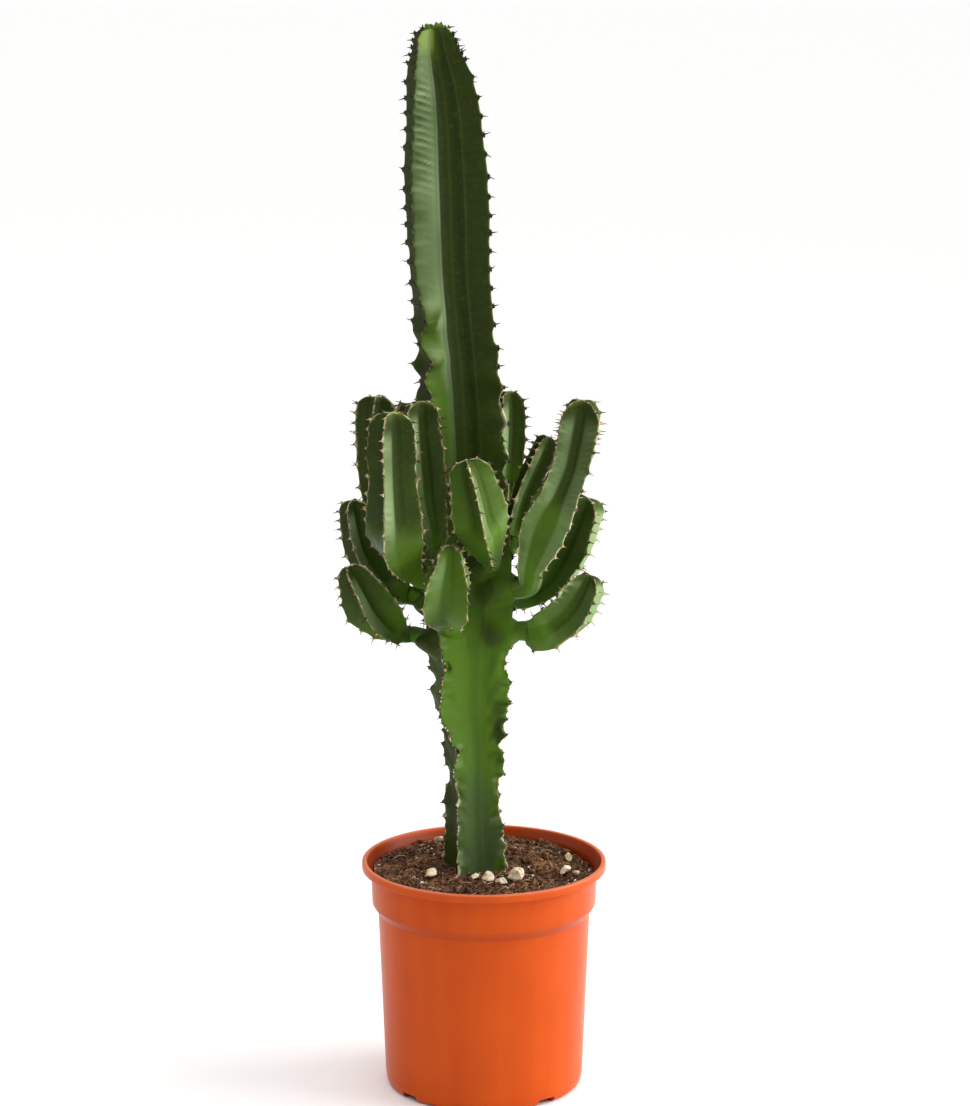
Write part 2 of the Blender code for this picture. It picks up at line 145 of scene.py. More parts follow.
def latticeNoise(points, cell, seed):
    # Random values at the corners of a cubic lattice of that cell, blended by 3t^2 - 2t^3 on each axis.
    draws = np.random.default_rng(seed).uniform(-1, 1, 4096)
    spots = np.asarray(points) / cell
    low = np.floor(spots).astype(np.int64)
    share = smoothStep(spots - low)
    total = np.zeros(spots.shape[:-1])
    for corner in np.ndindex(2, 2, 2):
        place = low + corner
        mixed = (place[..., 0] * 73856093) ^ (place[..., 1] * 19349663) ^ (place[..., 2] * 83492791)
        weight = np.where(np.array(corner) == 1, share, 1 - share).prod(axis=-1)
        total += weight * draws[mixed & 4095]
    return total


def unit(vectors):
    # v / |v|.
    return vectors / np.linalg.norm(vectors, axis=-1, keepdims=True)


def tubeFaces(rows, columns):
    # One closed tube: quads between neighbouring rings, and a fan at each end to one of two last points.
    index = np.arange(rows * columns).reshape(rows, columns)
    after = np.roll(index, -1, axis=1)
    quads = np.stack([index[:-1], after[:-1], after[1:], index[1:]], axis=-1).reshape(-1, 4)
    foot = np.stack([after[0], index[0], np.full(columns, rows * columns)], axis=-1)
    tip = np.stack([index[-1], after[-1], np.full(columns, rows * columns + 1)], axis=-1)
    return quads, np.vstack([foot, tip])


def withPoles(rings):
    # Rings of points, copies by rows by columns, become one list a copy that ends with its two end middles.
    copies = rings.shape[0]
    ends = np.stack([rings[:, 0].mean(axis=1), rings[:, -1].mean(axis=1)], axis=1)
    return np.concatenate([rings.reshape(copies, -1, rings.shape[-1]), ends], axis=1)


def meshFrom(name, copies, quads, triangles, values=None):
    # Every copy has the same faces, with its corner numbers moved on by the points before it.
    count, size = copies.shape[:2]
    moves = np.arange(count)[:, None, None] * size
    corners = np.concatenate([(quads + moves).ravel(), (triangles + moves).ravel()])
    sizes = np.repeat([4, 3], [count * len(quads), count * len(triangles)])
    starts = np.concatenate([[0], np.cumsum(sizes)[:-1]])
    mesh = bpy.data.meshes.new(name)
    mesh.vertices.add(count * size)
    mesh.vertices.foreach_set("co", copies.astype(np.float32).ravel())
    mesh.loops.add(len(corners))
    mesh.loops.foreach_set("vertex_index", corners.astype(np.int32))
    mesh.polygons.add(len(sizes))
    mesh.polygons.foreach_set("loop_start", starts.astype(np.int32))
    setValues(mesh, values or {})
    mesh.update(calc_edges=True)
    mesh.validate()
    return mesh


def setValues(mesh, values):
    # One value a point for each name, for the materials.
    for key, value in values.items():
        layer = mesh.attributes.new(key, "FLOAT", "POINT")
        layer.data.foreach_set("value", np.asarray(value, dtype=np.float32).ravel())


def addObject(name, data):
    thing = bpy.data.objects.new(name, data)
    bpy.context.scene.collection.objects.link(thing)
    return thing


def finishPiece(mesh, material, replaced=()):
    piece = addObject(mesh.name, mesh)
    mesh.materials.clear()
    mesh.materials.append(material)
    mesh.shade_smooth()
    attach(piece, "root")
    if replaced:
        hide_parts(*replaced)


def finishLumps(name, lumps, faces, material, values=None, replaced=()):
    mesh = meshFrom(name, lumps, np.zeros((0, 4), int), faces, values)
    finishPiece(mesh, material, replaced)


def ballPoints(level):
    # Points of a ball of radius 1, an icosahedron whose faces are split level - 1 times, and its faces.
    shape = bmesh.new()
    bmesh.ops.create_icosphere(shape, subdivisions=level, radius=1.0)
    points = np.array([vertex.co[:] for vertex in shape.verts])
    faces = np.array([[vertex.index for vertex in face.verts] for face in shape.faces])
    shape.free()
    return points, faces


def randomTurns(draw, count):
    # Turning matrices from random unit quaternions.
    w, x, y, z = unit(draw.normal(size=(count, 4))).T
    return np.stack([
        np.stack([1 - 2 * (y * y + z * z), 2 * (x * y - z * w), 2 * (x * z + y * w)], axis=-1),
        np.stack([2 * (x * y + z * w), 1 - 2 * (x * x + z * z), 2 * (y * z - x * w)], axis=-1),
        np.stack([2 * (x * z - y * w), 2 * (y * z + x * w), 1 - 2 * (x * x + y * y)], axis=-1),
    ], axis=1)


def placeLumps(ball, centres, turns, sizes, unevenness, seed):
    # A lump is a ball whose points move in or out by noise, then stretched, turned and put in place.
    shifts = np.random.default_rng(seed).uniform(0, 60, (len(centres), 1, 3))
    swell = 1 + unevenness * latticeNoise(ball[None] + shifts, 0.7, seed)
    local = ball[None] * swell[..., None] * sizes[:, None, :]
    return np.einsum("nij,nmj->nmi", turns, local) + centres[:, None, :]


def placeTubes(paths, radii, sides, helper):
    # Rings round paths: each ring lies across the path, its first axis at right angles to path and helper.
    ahead = unit(np.gradient(paths, axis=1))
    across = unit(np.cross(ahead, helper[:, None, :]))
    upward = np.cross(across, ahead)
    turn = np.arange(sides) * math.tau / sides
    spread = np.cos(turn)[:, None] * across[..., None, :] - np.sin(turn)[:, None] * upward[..., None, :]
    return withPoles(paths[:, :, None, :] + radii[..., None, None] * spread)


# Materials

def makeSkin():
    # Waxy cuticle of a live euphorbia, grown, not made: a dark green satin skin with a grey-green painted
    # sheen on the side facing the key light, painted shade in its grooves and on the side turned from the
    # light, fine scars, and a horny margin on every rib that is cream to dark brown.
    material, tree, shader = newMaterial("waxyEuphorbiaSkin")
    place = objectPlace(tree)
    bloom = readAttribute(tree, "bloom")
    ripple = readAttribute(tree, "ripple")
    cork = readAttribute(tree, "cork")
    mottle = addNoise(tree, place, 5, 4.0)
    # Green by age, which wanders a little
    wander = addMath(tree, "MULTIPLY_ADD", addNoise(tree, place, 34, 3.0), 0.22, -0.11)
    green = addRamp(tree, addMath(tree, "ADD", readAttribute(tree, "tone"), wander), [
        (0.0, "#42532F"), (1.0, "#7C9638"), (0.15, "#466028"), (0.30, "#4B6C16"),
        (0.45, "#415B15"), (0.62, "#354615"), (0.78, "#2C3711"), (0.92, "#40521A")])
    # Painted sheen: pale sage where the skin faces the key light, with a painted highlight on the tops of the
    # ripples and painted shade in their hollows
    sheened = addMix(tree, bloom, green, "#869C6A")
    rippleShade = addMath(tree, "MULTIPLY", addRange(tree, ripple, -1.0, -0.1, 0.8, 0.0), bloom)
    rippleHighlight = addMath(tree, "MULTIPLY", addRange(tree, ripple, 0.0, 1.0, 0.0, 1.0), bloom)
    rippleShaded = addMix(tree, rippleHighlight, addMix(tree, rippleShade, sheened, "#39502B"), "#A5BC94")
    # Painted shade in the bottom of the groove, with a painted highlight line along each of its edges and
    # down its middle
    grooveShaded = addMix(tree, readAttribute(tree, "grooveShade"), rippleShaded, "#1D260C")
    edge = addRamp(tree, readAttribute(tree, "rib"), [
        (0.0, "#4E4E4E"), (1.0, "#000000"), (0.16, "#000000"), (0.58, "#000000"), (0.63, "#626262"),
        (0.69, "#000000")])
    highlightLined = addMix(tree, addMath(tree, "MULTIPLY", edge, readAttribute(tree, "line")), grooveShaded, "#6E8847")
    # A thin bloom in soft mottles, and small pale scars about 1 mm wide and 9 mm apart
    bloomed = addMix(tree, addRange(tree, mottle, 0.5, 0.8, 0.0, 0.1), highlightLined, "#66784A")
    dots = addNode(tree, "TexVoronoi", {"Vector": place, "Scale": 1000.0 / 9, "Randomness": 1.0})
    scars = addRange(tree, dots.outputs["Distance"], 0.03, 0.08, 0.15, 0.0)
    dotted = addMix(tree, scars, bloomed, "#A3AC78")
    # Horny margin: cream where young, brown in patches, dark on the old column
    corkAge = addMath(tree, "ADD", addNoise(tree, place, 6, 5.0), readAttribute(tree, "corkShade"))
    corkColour = addRamp(tree, corkAge, [
        (0.30, "#2A2416"), (1.0, "#DAD6B6"), (0.55, "#4E4426"), (0.72, "#8C8454"), (0.86, "#B7B18A")])
    gloss = addRange(tree, mottle, 0.3, 0.7, 0.38, 0.52)
    feed(tree, shader, {
        "Base Color": addMix(tree, cork, dotted, corkColour),
        "Roughness": addNode(tree, "Mix", {0: cork, 2: gloss, 3: 0.8}, data_type="FLOAT").outputs[0],
        "IOR": 1.48, "Specular IOR Level": 0.08,
        "Normal": addBump(tree, addNoise(tree, place, 1.2, 2.0), 0.35, 0.12)})
    return material


def makeHorn():
    # Keratin-like horn of plant spines, grown: dull cream at the foot, red-brown, nearly black at the point.
    material, tree, shader = newMaterial("spineHorn")
    place = objectPlace(tree)
    wander = addMath(tree, "MULTIPLY_ADD", addNoise(tree, place, 14, 2.0), 0.9, -0.45)
    along = addMath(tree, "ADD", readAttribute(tree, "share"), wander)
    colour = addRamp(tree, along, [
        (0.0, "#D9CCA6"), (1.0, "#17100C"), (0.28, "#C2A67E"), (0.55, "#7E5439"), (0.8, "#38241A")])
    feed(tree, shader, {"Base Color": colour, "Roughness": 0.5, "IOR": 1.54, "Specular IOR Level": 0.25})
    return material


def makePeat():
    # Peat and coir potting mix, sieved and watered: dull, crumbly, brown, darker where damp.
    material, tree, shader = newMaterial("peatPottingMix")
    place = objectPlace(tree)
    damp = addMath(tree, "MULTIPLY_ADD", addNoise(tree, place, 26, 3.0), 0.35, -0.175)
    crumb = addNoise(tree, place, 3.2, 6.0, 0.7)
    colour = addRamp(tree, addMath(tree, "ADD", crumb, damp), [
        (0.32, "#1C0F08"), (0.76, "#C09868"), (0.43, "#382012"), (0.52, "#5C3B25"), (0.62, "#8A603E")])
    feed(tree, shader, {"Base Color": colour, "Roughness": 0.95, "Specular IOR Level": 0.25,
                        "Normal": addBump(tree, crumb, 0.8, 0.8)})
    return material


def makeCoir():
    # Coir fibre, combed from coconut husk: dry, dull strands from straw to dark brown.
    material, tree, shader = newMaterial("coirFibre")
    colour = addRamp(tree, readAttribute(tree, "tint"), [
        (0.0, "#2E1C12"), (1.0, "#C4A27A"), (0.35, "#5C3C26"), (0.7, "#946D4A")])
    feed(tree, shader, {"Base Color": colour, "Roughness": 0.85})
    return material


def makePerlite():
    # Perlite, volcanic glass blown by heat: white, chalky, finely pitted, stained a little by the peat.
    material, tree, shader = newMaterial("blownPerlite")
    place = objectPlace(tree)
    stain = addNoise(tree, place, 2.5, 4.0)
    colour = addRamp(tree, stain, [(0.34, "#9C8468"), (0.6, "#F4EFE6"), (0.45, "#DCCFBC")])
    feed(tree, shader, {"Base Color": colour, "Roughness": 0.9, "Normal": addBump(tree, stain, 0.6, 0.4)})
    return material


def makeLimestone():
    # Crushed limestone chippings: broken cream faces, chalky, with tan stains and fine pits.
    material, tree, shader = newMaterial("crushedLimestone")
    place = objectPlace(tree)
    colour = addRamp(tree, addNoise(tree, place, 9, 5.0, 0.65), [
        (0.34, "#94794F"), (0.70, "#FCF7EA"), (0.45, "#D3BD94"), (0.56, "#EEE3CA")])
    pits = addNoise(tree, place, 1.5, 4.0)
    feed(tree, shader, {"Base Color": colour, "Roughness": 0.8, "Normal": addBump(tree, pits, 0.6, 0.35)})
    return material


def makePolypropylene():
    # Polypropylene, injection moulded in a polished tool: even satin orange, soft wide highlights,
    # faint upright flow marks, a little dust and fine scuffs; painted shade darkens the inside and the
    # shoulder's crease, and a painted highlight pales the top of the lip.
    material, tree, shader = newMaterial("mouldedPolypropylene")
    place = objectPlace(tree)
    squeeze = addNode(tree, "Mapping", {"Vector": place, "Scale": (1.0, 1.0, 0.06)}).outputs[0]
    cloud = addNoise(tree, place, 60, 2.0)
    both = addMath(tree, "ADD", addNoise(tree, squeeze, 22, 3.0), cloud)
    orange = addMix(tree, addRange(tree, both, 0.7, 1.3, 0.0, 1.0), "#BE470A", "#C9500E")
    dust = addRange(tree, addNoise(tree, place, 2.0, 5.0, 0.75), 0.66, 0.78, 0.0, 0.12)
    dusted = addMix(tree, dust, orange, "#C98A66")
    # Painted shade on the inside and the shoulder's crease; a painted highlight on the lip's top
    insideShaded = addMix(tree, readAttribute(tree, "insideShade"), dusted, "#6A1E08")
    feed(tree, shader, {
        "Base Color": addMix(tree, readAttribute(tree, "worn"), insideShaded, "#F0AE8C"),
        "Roughness": addMath(tree, "ADD", dust, addRange(tree, cloud, 0.3, 0.7, 0.27, 0.36)),
        "IOR": 1.49, "Specular IOR Level": 0.12,
        "Normal": addBump(tree, addNoise(tree, place, 14, 3.0), 0.12, 0.5)})
    return material


skinMaterial = makeSkin()
hornMaterial = makeHorn()
peatMaterial = makePeat()
coirMaterial = makeCoir()
perliteMaterial = makePerlite()
limestoneMaterial = makeLimestone()
polypropyleneMaterial = makePolypropylene()
print("materials made")


# Pot

potLook = {
    "turnSteps": 192,          # facets round the pot
    "cornerSteps": 5,          # facets at each rounded corner of its section
    "longestRun": 9.0,         # mm, between two points of its section
    "slotCount": 4,
    "slotWidth": 20.0,         # mm, round the pot
    "slotHeight": 6.5,         # mm
    "slotLength": 19.8,        # mm, through the wall
    "slotMiddle": 91.4,        # mm from the axis
    "slotRound": 1.2,          # mm, its corners
    "slotFirstTurn": 40.0,     # degrees
    "stain": 0.72,             # share of painted shade on the inside
    "dirt": 0.5,               # the shoulder crease's share of the inside's painted shade
    "wear": 0.2,               # share of painted highlight on the lip's top
    "creaseAngle": 38.0,       # degrees, sharper edges stay sharp
    # Painted shade and highlight, mm: the band's inside, from its foot to its top, the lip's inside, the
    # shoulder's middle, and the height and radius past which the lip gets its painted highlight
    "bandRadius": 109.6, "bandFoot": 187.0, "bandTop": 220.2, "lipInside": 116.0, "shoulder": 181.5,
    "highlightHeight": 226.6, "highlightRadius": 114.8,
}
# The section, from the middle of the inside floor over the lip to the middle of the underside:
# radius, height and corner rounding in millimetres.
potSection = [
    (0.0, 2.2, 0.0), (87.5, 2.2, 4.0), (92.9, 5.0, 2.5), (95.1, 10.5, 3.0), (102.0, 177.0, 3.0),
    (107.8, 185.5, 3.0), (108.9, 219.0, 3.0), (114.3, 225.7, 1.5), (115.6, 228.4, 0.9),
    (119.9, 228.4, 1.6), (120.0, 220.6, 1.4), (111.2, 219.7, 0.7), (110.0, 186.0, 0.9),
    (104.2, 177.5, 1.4), (97.3, 8.8, 4.0), (95.2, 2.1, 2.2), (90.3, 0.0, 1.4), (0.0, 0.0, 0.0),
]


def roundSection(rows, steps, longest):
    # At each corner a quadratic curve from rounding before it to rounding after it; long runs are divided.
    rows = np.array(rows, dtype=float)
    points = [rows[0, :2]]
    bend = np.linspace(0, 1, steps + 1)[1:, None]

    def runTo(stop):
        count = int(np.linalg.norm(stop - points[-1]) / longest)
        first = points[-1]
        points.extend(first + (stop - first) * share for share in np.linspace(0, 1, max(1, count) + 1)[1:])

    for before, corner, after in zip(rows, rows[1:], rows[2:]):
        middle = corner[:2]
        start = middle + unit(before[:2] - middle) * corner[2]
        stop = middle + unit(after[:2] - middle) * corner[2]
        runTo(start)
        points.extend((1 - bend) ** 2 * start + 2 * bend * (1 - bend) * middle + bend ** 2 * stop)
    runTo(rows[-1, :2])
    return np.array(points)


def slotCutter(look, turned):
    # A rounded block across the wall's foot, turned about the pot's axis.
    shape = bmesh.new()
    bmesh.ops.create_cube(shape, size=1.0)
    size = (look["slotLength"] * mm, look["slotWidth"] * mm, 2 * look["slotHeight"] * mm)
    bmesh.ops.scale(shape, vec=size, verts=shape.verts)
    bmesh.ops.bevel(shape, geom=shape.edges[:], offset=look["slotRound"] * mm, segments=3,
                    affect="EDGES", profile=0.5)
    bmesh.ops.translate(shape, vec=(look["slotMiddle"] * mm, 0, 0), verts=shape.verts)
    bmesh.ops.rotate(shape, matrix=Euler((0, 0, turned)).to_matrix(), verts=shape.verts)
    mesh = bpy.data.meshes.new("slotCutter")
    shape.to_mesh(mesh)
    shape.free()
    return addObject("slotCutter", mesh)


def makePot(look):
    # The section turned about Z: x = r cos t, y = r sin t, z = h. The ends are the two middles.
    section = roundSection(potSection, look["cornerSteps"], look["longestRun"])[1:-1] * mm
    turn = np.arange(look["turnSteps"]) * math.tau / look["turnSteps"]
    radius = section[:, 0, None]
    height = np.broadcast_to(section[:, 1, None], (len(section), len(turn)))
    rings = np.stack([radius * np.cos(turn), radius * np.sin(turn), height], axis=-1)[::-1]
    whole = meshFrom("potWhole", withPoles(rings[None]), *tubeFaces(*rings.shape[:2]))
    pot = addObject("potWhole", whole)
    turns = math.radians(look["slotFirstTurn"]) + np.arange(look["slotCount"]) * math.tau / look["slotCount"]
    cutters = [slotCutter(look, turned) for turned in turns]
    for cutter in cutters:
        cut = pot.modifiers.new("slot", "BOOLEAN")
        cut.operation = "DIFFERENCE"
        cut.solver = "MANIFOLD"
        cut.object = cutter
    graph = bpy.context.evaluated_depsgraph_get()
    mesh = bpy.data.meshes.new_from_object(pot.evaluated_get(graph))
    for thing in [pot] + cutters:
        bpy.data.objects.remove(thing, do_unlink=True)
    bpy.data.meshes.remove(whole)
    mesh.name = "potBody"
    # Painted shade: above the shoulder the inside's points lie nearer the axis than the band's, or above it
    # in the lip; the shoulder itself gets some too. The top of the lip gets a painted highlight.
    points = np.empty(3 * len(mesh.vertices), dtype=np.float32)
    mesh.vertices.foreach_get("co", points)
    x, y, z = points.reshape(-1, 3).T / mm
    radius = np.hypot(x, y)
    inBand = np.where(z < look["bandTop"], radius < look["bandRadius"], 1) * (z > look["bandFoot"])
    insideShade = smoothStep((look["lipInside"] - radius) / 3) * inBand
    insideShade = np.maximum(insideShade, look["dirt"] * smoothStep(1.6 - np.abs(z - look["shoulder"]) / 4))
    worn = smoothStep(z - look["highlightHeight"]) * smoothStep(radius - look["highlightRadius"])
    setValues(mesh, {"insideShade": look["stain"] * insideShade, "worn": look["wear"] * worn})
    finishPiece(mesh, polypropyleneMaterial, ["pot"])
    mesh.set_sharp_from_angle(angle=math.radians(look["creaseAngle"]))


makePot(potLook)
print("pot made")


# Stem and branches

plantShift = np.array([0.0, 12.0, -6.0, 0.0])   # mm, added to every route point
ribCount = 4
routeSteps = 24                                 # points between two rows of a route
rootDepth = 8                                   # mm, a branch's route begins this far below its neck
domeRings, domeEnd = 15, 0.975                  # rings over a dome, and their last, as a share of its arc

# Route rows are x, y, z and rib radius in millimetres, from foot to tip, as in the CAD source.
stemRoute = [
    (-7, 0, 156, 31), (-7.5, 0, 200, 34), (-8, 0, 222, 35), (-9.5, 0, 262, 32.5), (-10, 0, 300, 31.5),
    (-10, 0, 342, 34), (-12, 0, 368, 37), (-15, 0, 393, 42), (-14.5, 0, 425, 47.5), (-15, 0, 455, 51),
    (-16.5, 0, 493, 53.5), (-18, 0, 560, 53), (-19, 0, 612, 51), (-21.5, 0, 670, 50), (-24, 0, 714, 49.5),
    (-28.5, 0, 764, 49), (-32, 0, 815, 49.5), (-33.5, 0, 865, 50.5), (-35, 0, 915, 50.5), (-37, 0, 965, 45),
    (-40, 0, 995, 40), (-43.5, 0, 1014, 35), (-46, 0, 1032, 28), (-47.5, 0, 1052, 22),
]
branchRoutes = {
    "branch_left_back_high": (8, [
        (-70, 30, 511, 7), (-80, 46, 526, 13), (-92, 60, 552, 18), (-103, 66, 598, 21),
        (-106, 66, 648, 21), (-105, 64, 685, 20)]),
    "branch_left_front_high": (19, [
        (-56, -54, 526, 8), (-73, -77, 546, 17), (-83, -111, 577, 28), (-84, -125, 603, 29),
        (-85, -131, 628, 25.5), (-86, -134, 667, 25), (-86, -134, 708, 23)]),
    "branch_front_high": (40, [
        (-45, -54, 549, 8), (-46, -71, 574, 15), (-52, -79, 610, 23), (-55, -81, 644, 25),
        (-58, -81, 678, 24), (-59, -80, 708, 22)]),
    "branch_left_inner": (45, [
        (-69, 25, 582, 6), (-75, 9, 600, 12), (-76, -12, 634, 15.5), (-75, -18, 665, 16),
        (-74, -18, 694, 15)]),
    "branch_front_middle": (-5, [
        (6, -40, 539, 9), (2, -75, 566, 19), (-3, -102, 593, 27), (-7, -110, 616, 26),
        (-12, -112, 638, 22.5), (-17, -112, 658, 20)]),
    "branch_front_low": (45, [
        (-41, -56, 485, 8), (-39, -73, 494, 14), (-36, -92, 511, 29), (-34, -104, 535, 28),
        (-32, -108, 557, 19), (-32, -108, 575, 14)]),
    "branch_left_middle": (20, [
        (-68, 29, 490, 9), (-82, 31, 494, 15), (-102, 34, 510, 21), (-117, 35, 534, 20.5),
        (-124, 34, 561, 18.5), (-129, 32, 588, 16)]),
    "branch_left_low": (10, [
        (-67, 27, 452, 8), (-80, 23, 453, 11), (-93, 12, 463, 20), (-109, 0, 484, 27),
        (-120, -6, 506, 22), (-128, -8, 522, 16), (-132, -8, 531, 12)]),
    "branch_right_high": (50, [
        (38, -33, 515, 11), (46, -40, 538, 18), (58, -49, 576, 30), (72, -54, 609, 27),
        (83, -56, 638, 25), (89, -58, 668, 26), (92, -58, 687, 25), (93, -58, 705, 23)]),
    "branch_right_inner": (30, [
        (19, 2, 540, 7), (26, 2, 550, 10), (31, 2, 570, 13), (37, 3, 592, 14), (46, 5, 614, 14.5),
        (56, 7, 636, 14), (63, 8, 656, 12)]),
    "branch_back_high": (20, [
        (11, 54, 561, 7), (17, 68, 578, 14), (22, 73, 612, 18), (24, 74, 651, 18.5), (24, 74, 688, 17)]),
    "branch_right_middle": (-28, [
        (14, 54, 478, 8), (29, 55, 479, 10), (45, 54, 484, 15), (66, 50, 504, 24), (82, 48, 532, 28),
        (94, 46, 562, 26), (102, 44, 588, 23)]),
    "branch_right_low": (60, [
        (38, -29, 470, 10), (47, -33, 470, 19), (62, -38, 474, 27), (83, -42, 491, 27),
        (96, -44, 512, 22), (103, -44, 531, 18)]),
}

stemLook = {
    "turn": 40.0,              # degrees from +X towards the front, at the tip
    "twist": 10.5,             # degrees more at the foot
    "dome": 0.55,              # dome length over the last radius
    "pitch": 18.5,             # mm between spine pairs on a rib
    "tooth": 1.6,              # mm, height of a tooth
    "ringStep": 1.16,          # mm between rings
    "rippleHeight": 0.65,      # mm
    "rippleStep": 7.4,         # mm between ripples
    "rippleRise": 12.0,        # mm that a ripple climbs from groove to crest
    "offsets": (0, 0.7, 1.5, 2.6, 4.0, 5.8, 8.0, 10.8, 14.0, 17.3, 19.6, 22.2, 25.5, 31, 38),   # degrees
    "lobeHeight": 4.5,         # mm, the wavy stretch of the ribs among the branches,
    "lobePitch": 33.0,         # mm from wave to wave,
    "lobeMiddle": 665.0,       # about this height
    "lobeSpread": 75.0,
    "crowding": 1.7,           # how much closer the teeth stand at the tip
    "sink": 5.0,               # mm, depth of the hollow in the crown
    "sway": 0.8,               # mm, how far a crest wanders sideways
    "trunkSway": 3.2,
    "trunkTop": 510.0,         # mm, the old trunk ends here: fuller, ragged, without fine ripples
    "trunkFade": 80.0,
    "trunkFull": 0.5,
}
# Ragged crests of the trunk: height and how far the crest stands out or in, mm.
rightCrest = [
    (205, 2.3), (240, 0.5), (277, 0), (291, -2.3), (311, -2.6), (317, 2.6), (332, 2.6), (344, -5.7),
    (354, 4.2), (364, 1.9), (378, 5.3), (388, 7.0), (397, 1.1), (410, 1.5), (429, -8), (455, 0)]
leftCrest = [
    (210, 1.5), (262, 2.6), (282, 3.4), (302, -0.8), (316, -3), (326, 1.9), (343, 1.5), (360, -3),
    (370, -3.8), (378, 1.5), (384, 1.5), (394, -0.4), (402, -6), (410, -0.4), (421, 0.8), (440, 0)]
trunkCrests = [rightCrest, leftCrest, leftCrest, rightCrest]
# Where the column's faces are rippled, and where they carry painted sheen: height in mm and share.
columnRipples = [
    (200, 0.3), (460, 0.2), (770, 0.25), (830, 0.8), (880, 1.1), (985, 1.1), (1010, 0.4), (1040, 0.1)]
columnSheen = [
    (560, 0.0), (640, 0.3), (700, 0.8), (760, 1.0), (800, 1.3), (990, 1.1), (1015, 0.8), (1050, 0.45)]
# Where the column's front left crest leans to one side: height and shift in mm.
columnSways = [
    (700, 0), (715, -2), (722, -1), (732, 7.5), (743, -0.5), (757, -4.5), (769, 6), (783, 2.5), (793, -1),
    (806, -3), (850, -3.5), (985, -3), (1015, 0)]
# How far its back left crest stands out.
backCrest = [(800, 0), (850, 4), (985, 4.5), (1020, 2), (1040, 0)]
branchLook = {
    "twist": 0.0,
    "dome": 0.9,
    "pitch": 17.0,
    "tooth": 1.4,
    "ringStep": 1.2,
    "rippleHeight": 0.26,
    "rippleStep": 5.8,
    "rippleRise": 6.0,
    "offsets": (0, 1.2, 2.6, 4.6, 7.4, 11.0, 15.0, 19.0, 22.5, 27, 35),
    "roundLength": 27.2,       # mm over which the round neck becomes ribbed
    "crowding": 0.9,
    "sink": 2.0,
    "sway": 0.9,
}
# Rib section: degrees from the crest, and the reach there as a share of the crest's, on grown and on
# young, full ribs.
sectionAngles = (0, 0.8, 1.5, 3, 5, 8, 12, 16, 20, 22.5, 26, 32, 38, 45)
sectionShares = (1.0, 0.998, 0.985, 0.915, 0.835, 0.738, 0.638, 0.562, 0.504, 0.482, 0.436, 0.405, 0.39,
                 0.385)
fullShares = (1.0, 0.998, 0.99, 0.955, 0.92, 0.87, 0.815, 0.77, 0.735, 0.715, 0.695, 0.675, 0.662, 0.655)
# How a branch differs: painted sheen against the usual, a move towards fresh green, the share of its length,
# from the foot, that is young and full, the wax all round it, and the strength of its ripples.
usualHabit = (1.0, 0.0, 0.15, 0.0, 0.3)
branchHabits = {
    "branch_left_front_high": (1.0, 0.05, 0.42, 0.0, 0.5),
    "branch_front_high": (1.8, 0.0, 0.15, 0.1, 0.3),
    "branch_front_middle": (0.7, -0.20, 0.5, 0.0, 0.3),
    "branch_front_low": (1.0, -0.32, 0.2, 0.0, 0.25),
    "branch_right_high": (1.4, 0.02, 0.42, 0.35, 0.35),
    "branch_right_middle": (3.0, -0.16, 0.15, 0.12, 0.1),
    "branch_right_low": (4.0, -0.12, 0.25, 0.15, 0.1),
    "branch_left_low": (1.0, -0.10, 0.2, 0.0, 0.2),
}
shortRound = {"branch_right_low": 12.0, "branch_left_low": 16.0}   # mm, in place of roundLength
# The teeth crowd together over the last millimetres below the dome, and stand unevenly by a noise of
# this cell in mm and this height in teeth.
toothLook = {"crowdLength": 26.0, "unevenCell": 28.0, "unevenness": 0.45}
# Noise in the ripples: cell in mm and strength. It bends them, gathers them in patches and breaks them.
rippleLook = {"wobble": (30, 3.8), "patches": (45, 0.9), "breaks": (10, 0.6)}
# Relief that all the stems share: size of its cells and height, mm.
skinRelief = {
    "crest": (13, 0.9), "swelling": (34, 0.7), "unevenness": (9, 0.2), "crust": (4.2, 2.2), "fold": (24, 0.7),
    "oldTop": 370.0, "oldFade": 110.0,       # mm, the crust's upper end and its fading
    "weld": 3.0,                             # mm, how softly the skin flows into each branch
    "moundSpread": 1.5, "moundWidth": 11.0,  # of the neck's radius, and mm more
    "moundDrop": 4.0,                        # mm, the mound's middle lies this far below the neck
}


def smoothRoute(rows):
    # Catmull-Rom curve through the rows, mirrored at its ends; rows of x, y, z, radius in metres.
    knots = (np.array(rows, dtype=float) + plantShift) * mm
    ends = np.vstack([2 * knots[0] - knots[1], knots, 2 * knots[-1] - knots[-2]])
    share = np.linspace(0, 1, routeSteps, endpoint=False)[None, :, None]
    before, start, stop, after = (ends[k:len(ends) - 3 + k, None, :] for k in range(4))
    bend = 2 * before - 5 * start + 4 * stop - after
    swing = 3 * start - before - 3 * stop + after
    curve = start + 0.5 * share * ((stop - before) + share * (bend + share * swing))
    return np.vstack([curve.reshape(-1, 4), knots[-1]])


def lengthsAlong(curve):
    # How far along the curve each of its points lies: the sum of the steps before it.
    steps = np.linalg.norm(np.diff(curve[:, :3], axis=0), axis=1)
    return np.concatenate([[0], np.cumsum(steps)])


def sampleAt(curve, distances):
    # The curve's rows at these distances, on straight lines between its points.
    along = lengthsAlong(curve)
    return np.array([np.interp(distances, along, column) for column in curve.T]).T


def rooted(rows):
    # A branch's route begins on the main stem's axis.
    height = rows[0][2] - rootDepth
    axis = sampleAt(np.array(stemRoute, dtype=float), np.array([height - stemRoute[0][2]]))[0]
    return [(axis[0], axis[1], height, rows[0][3])] + rows


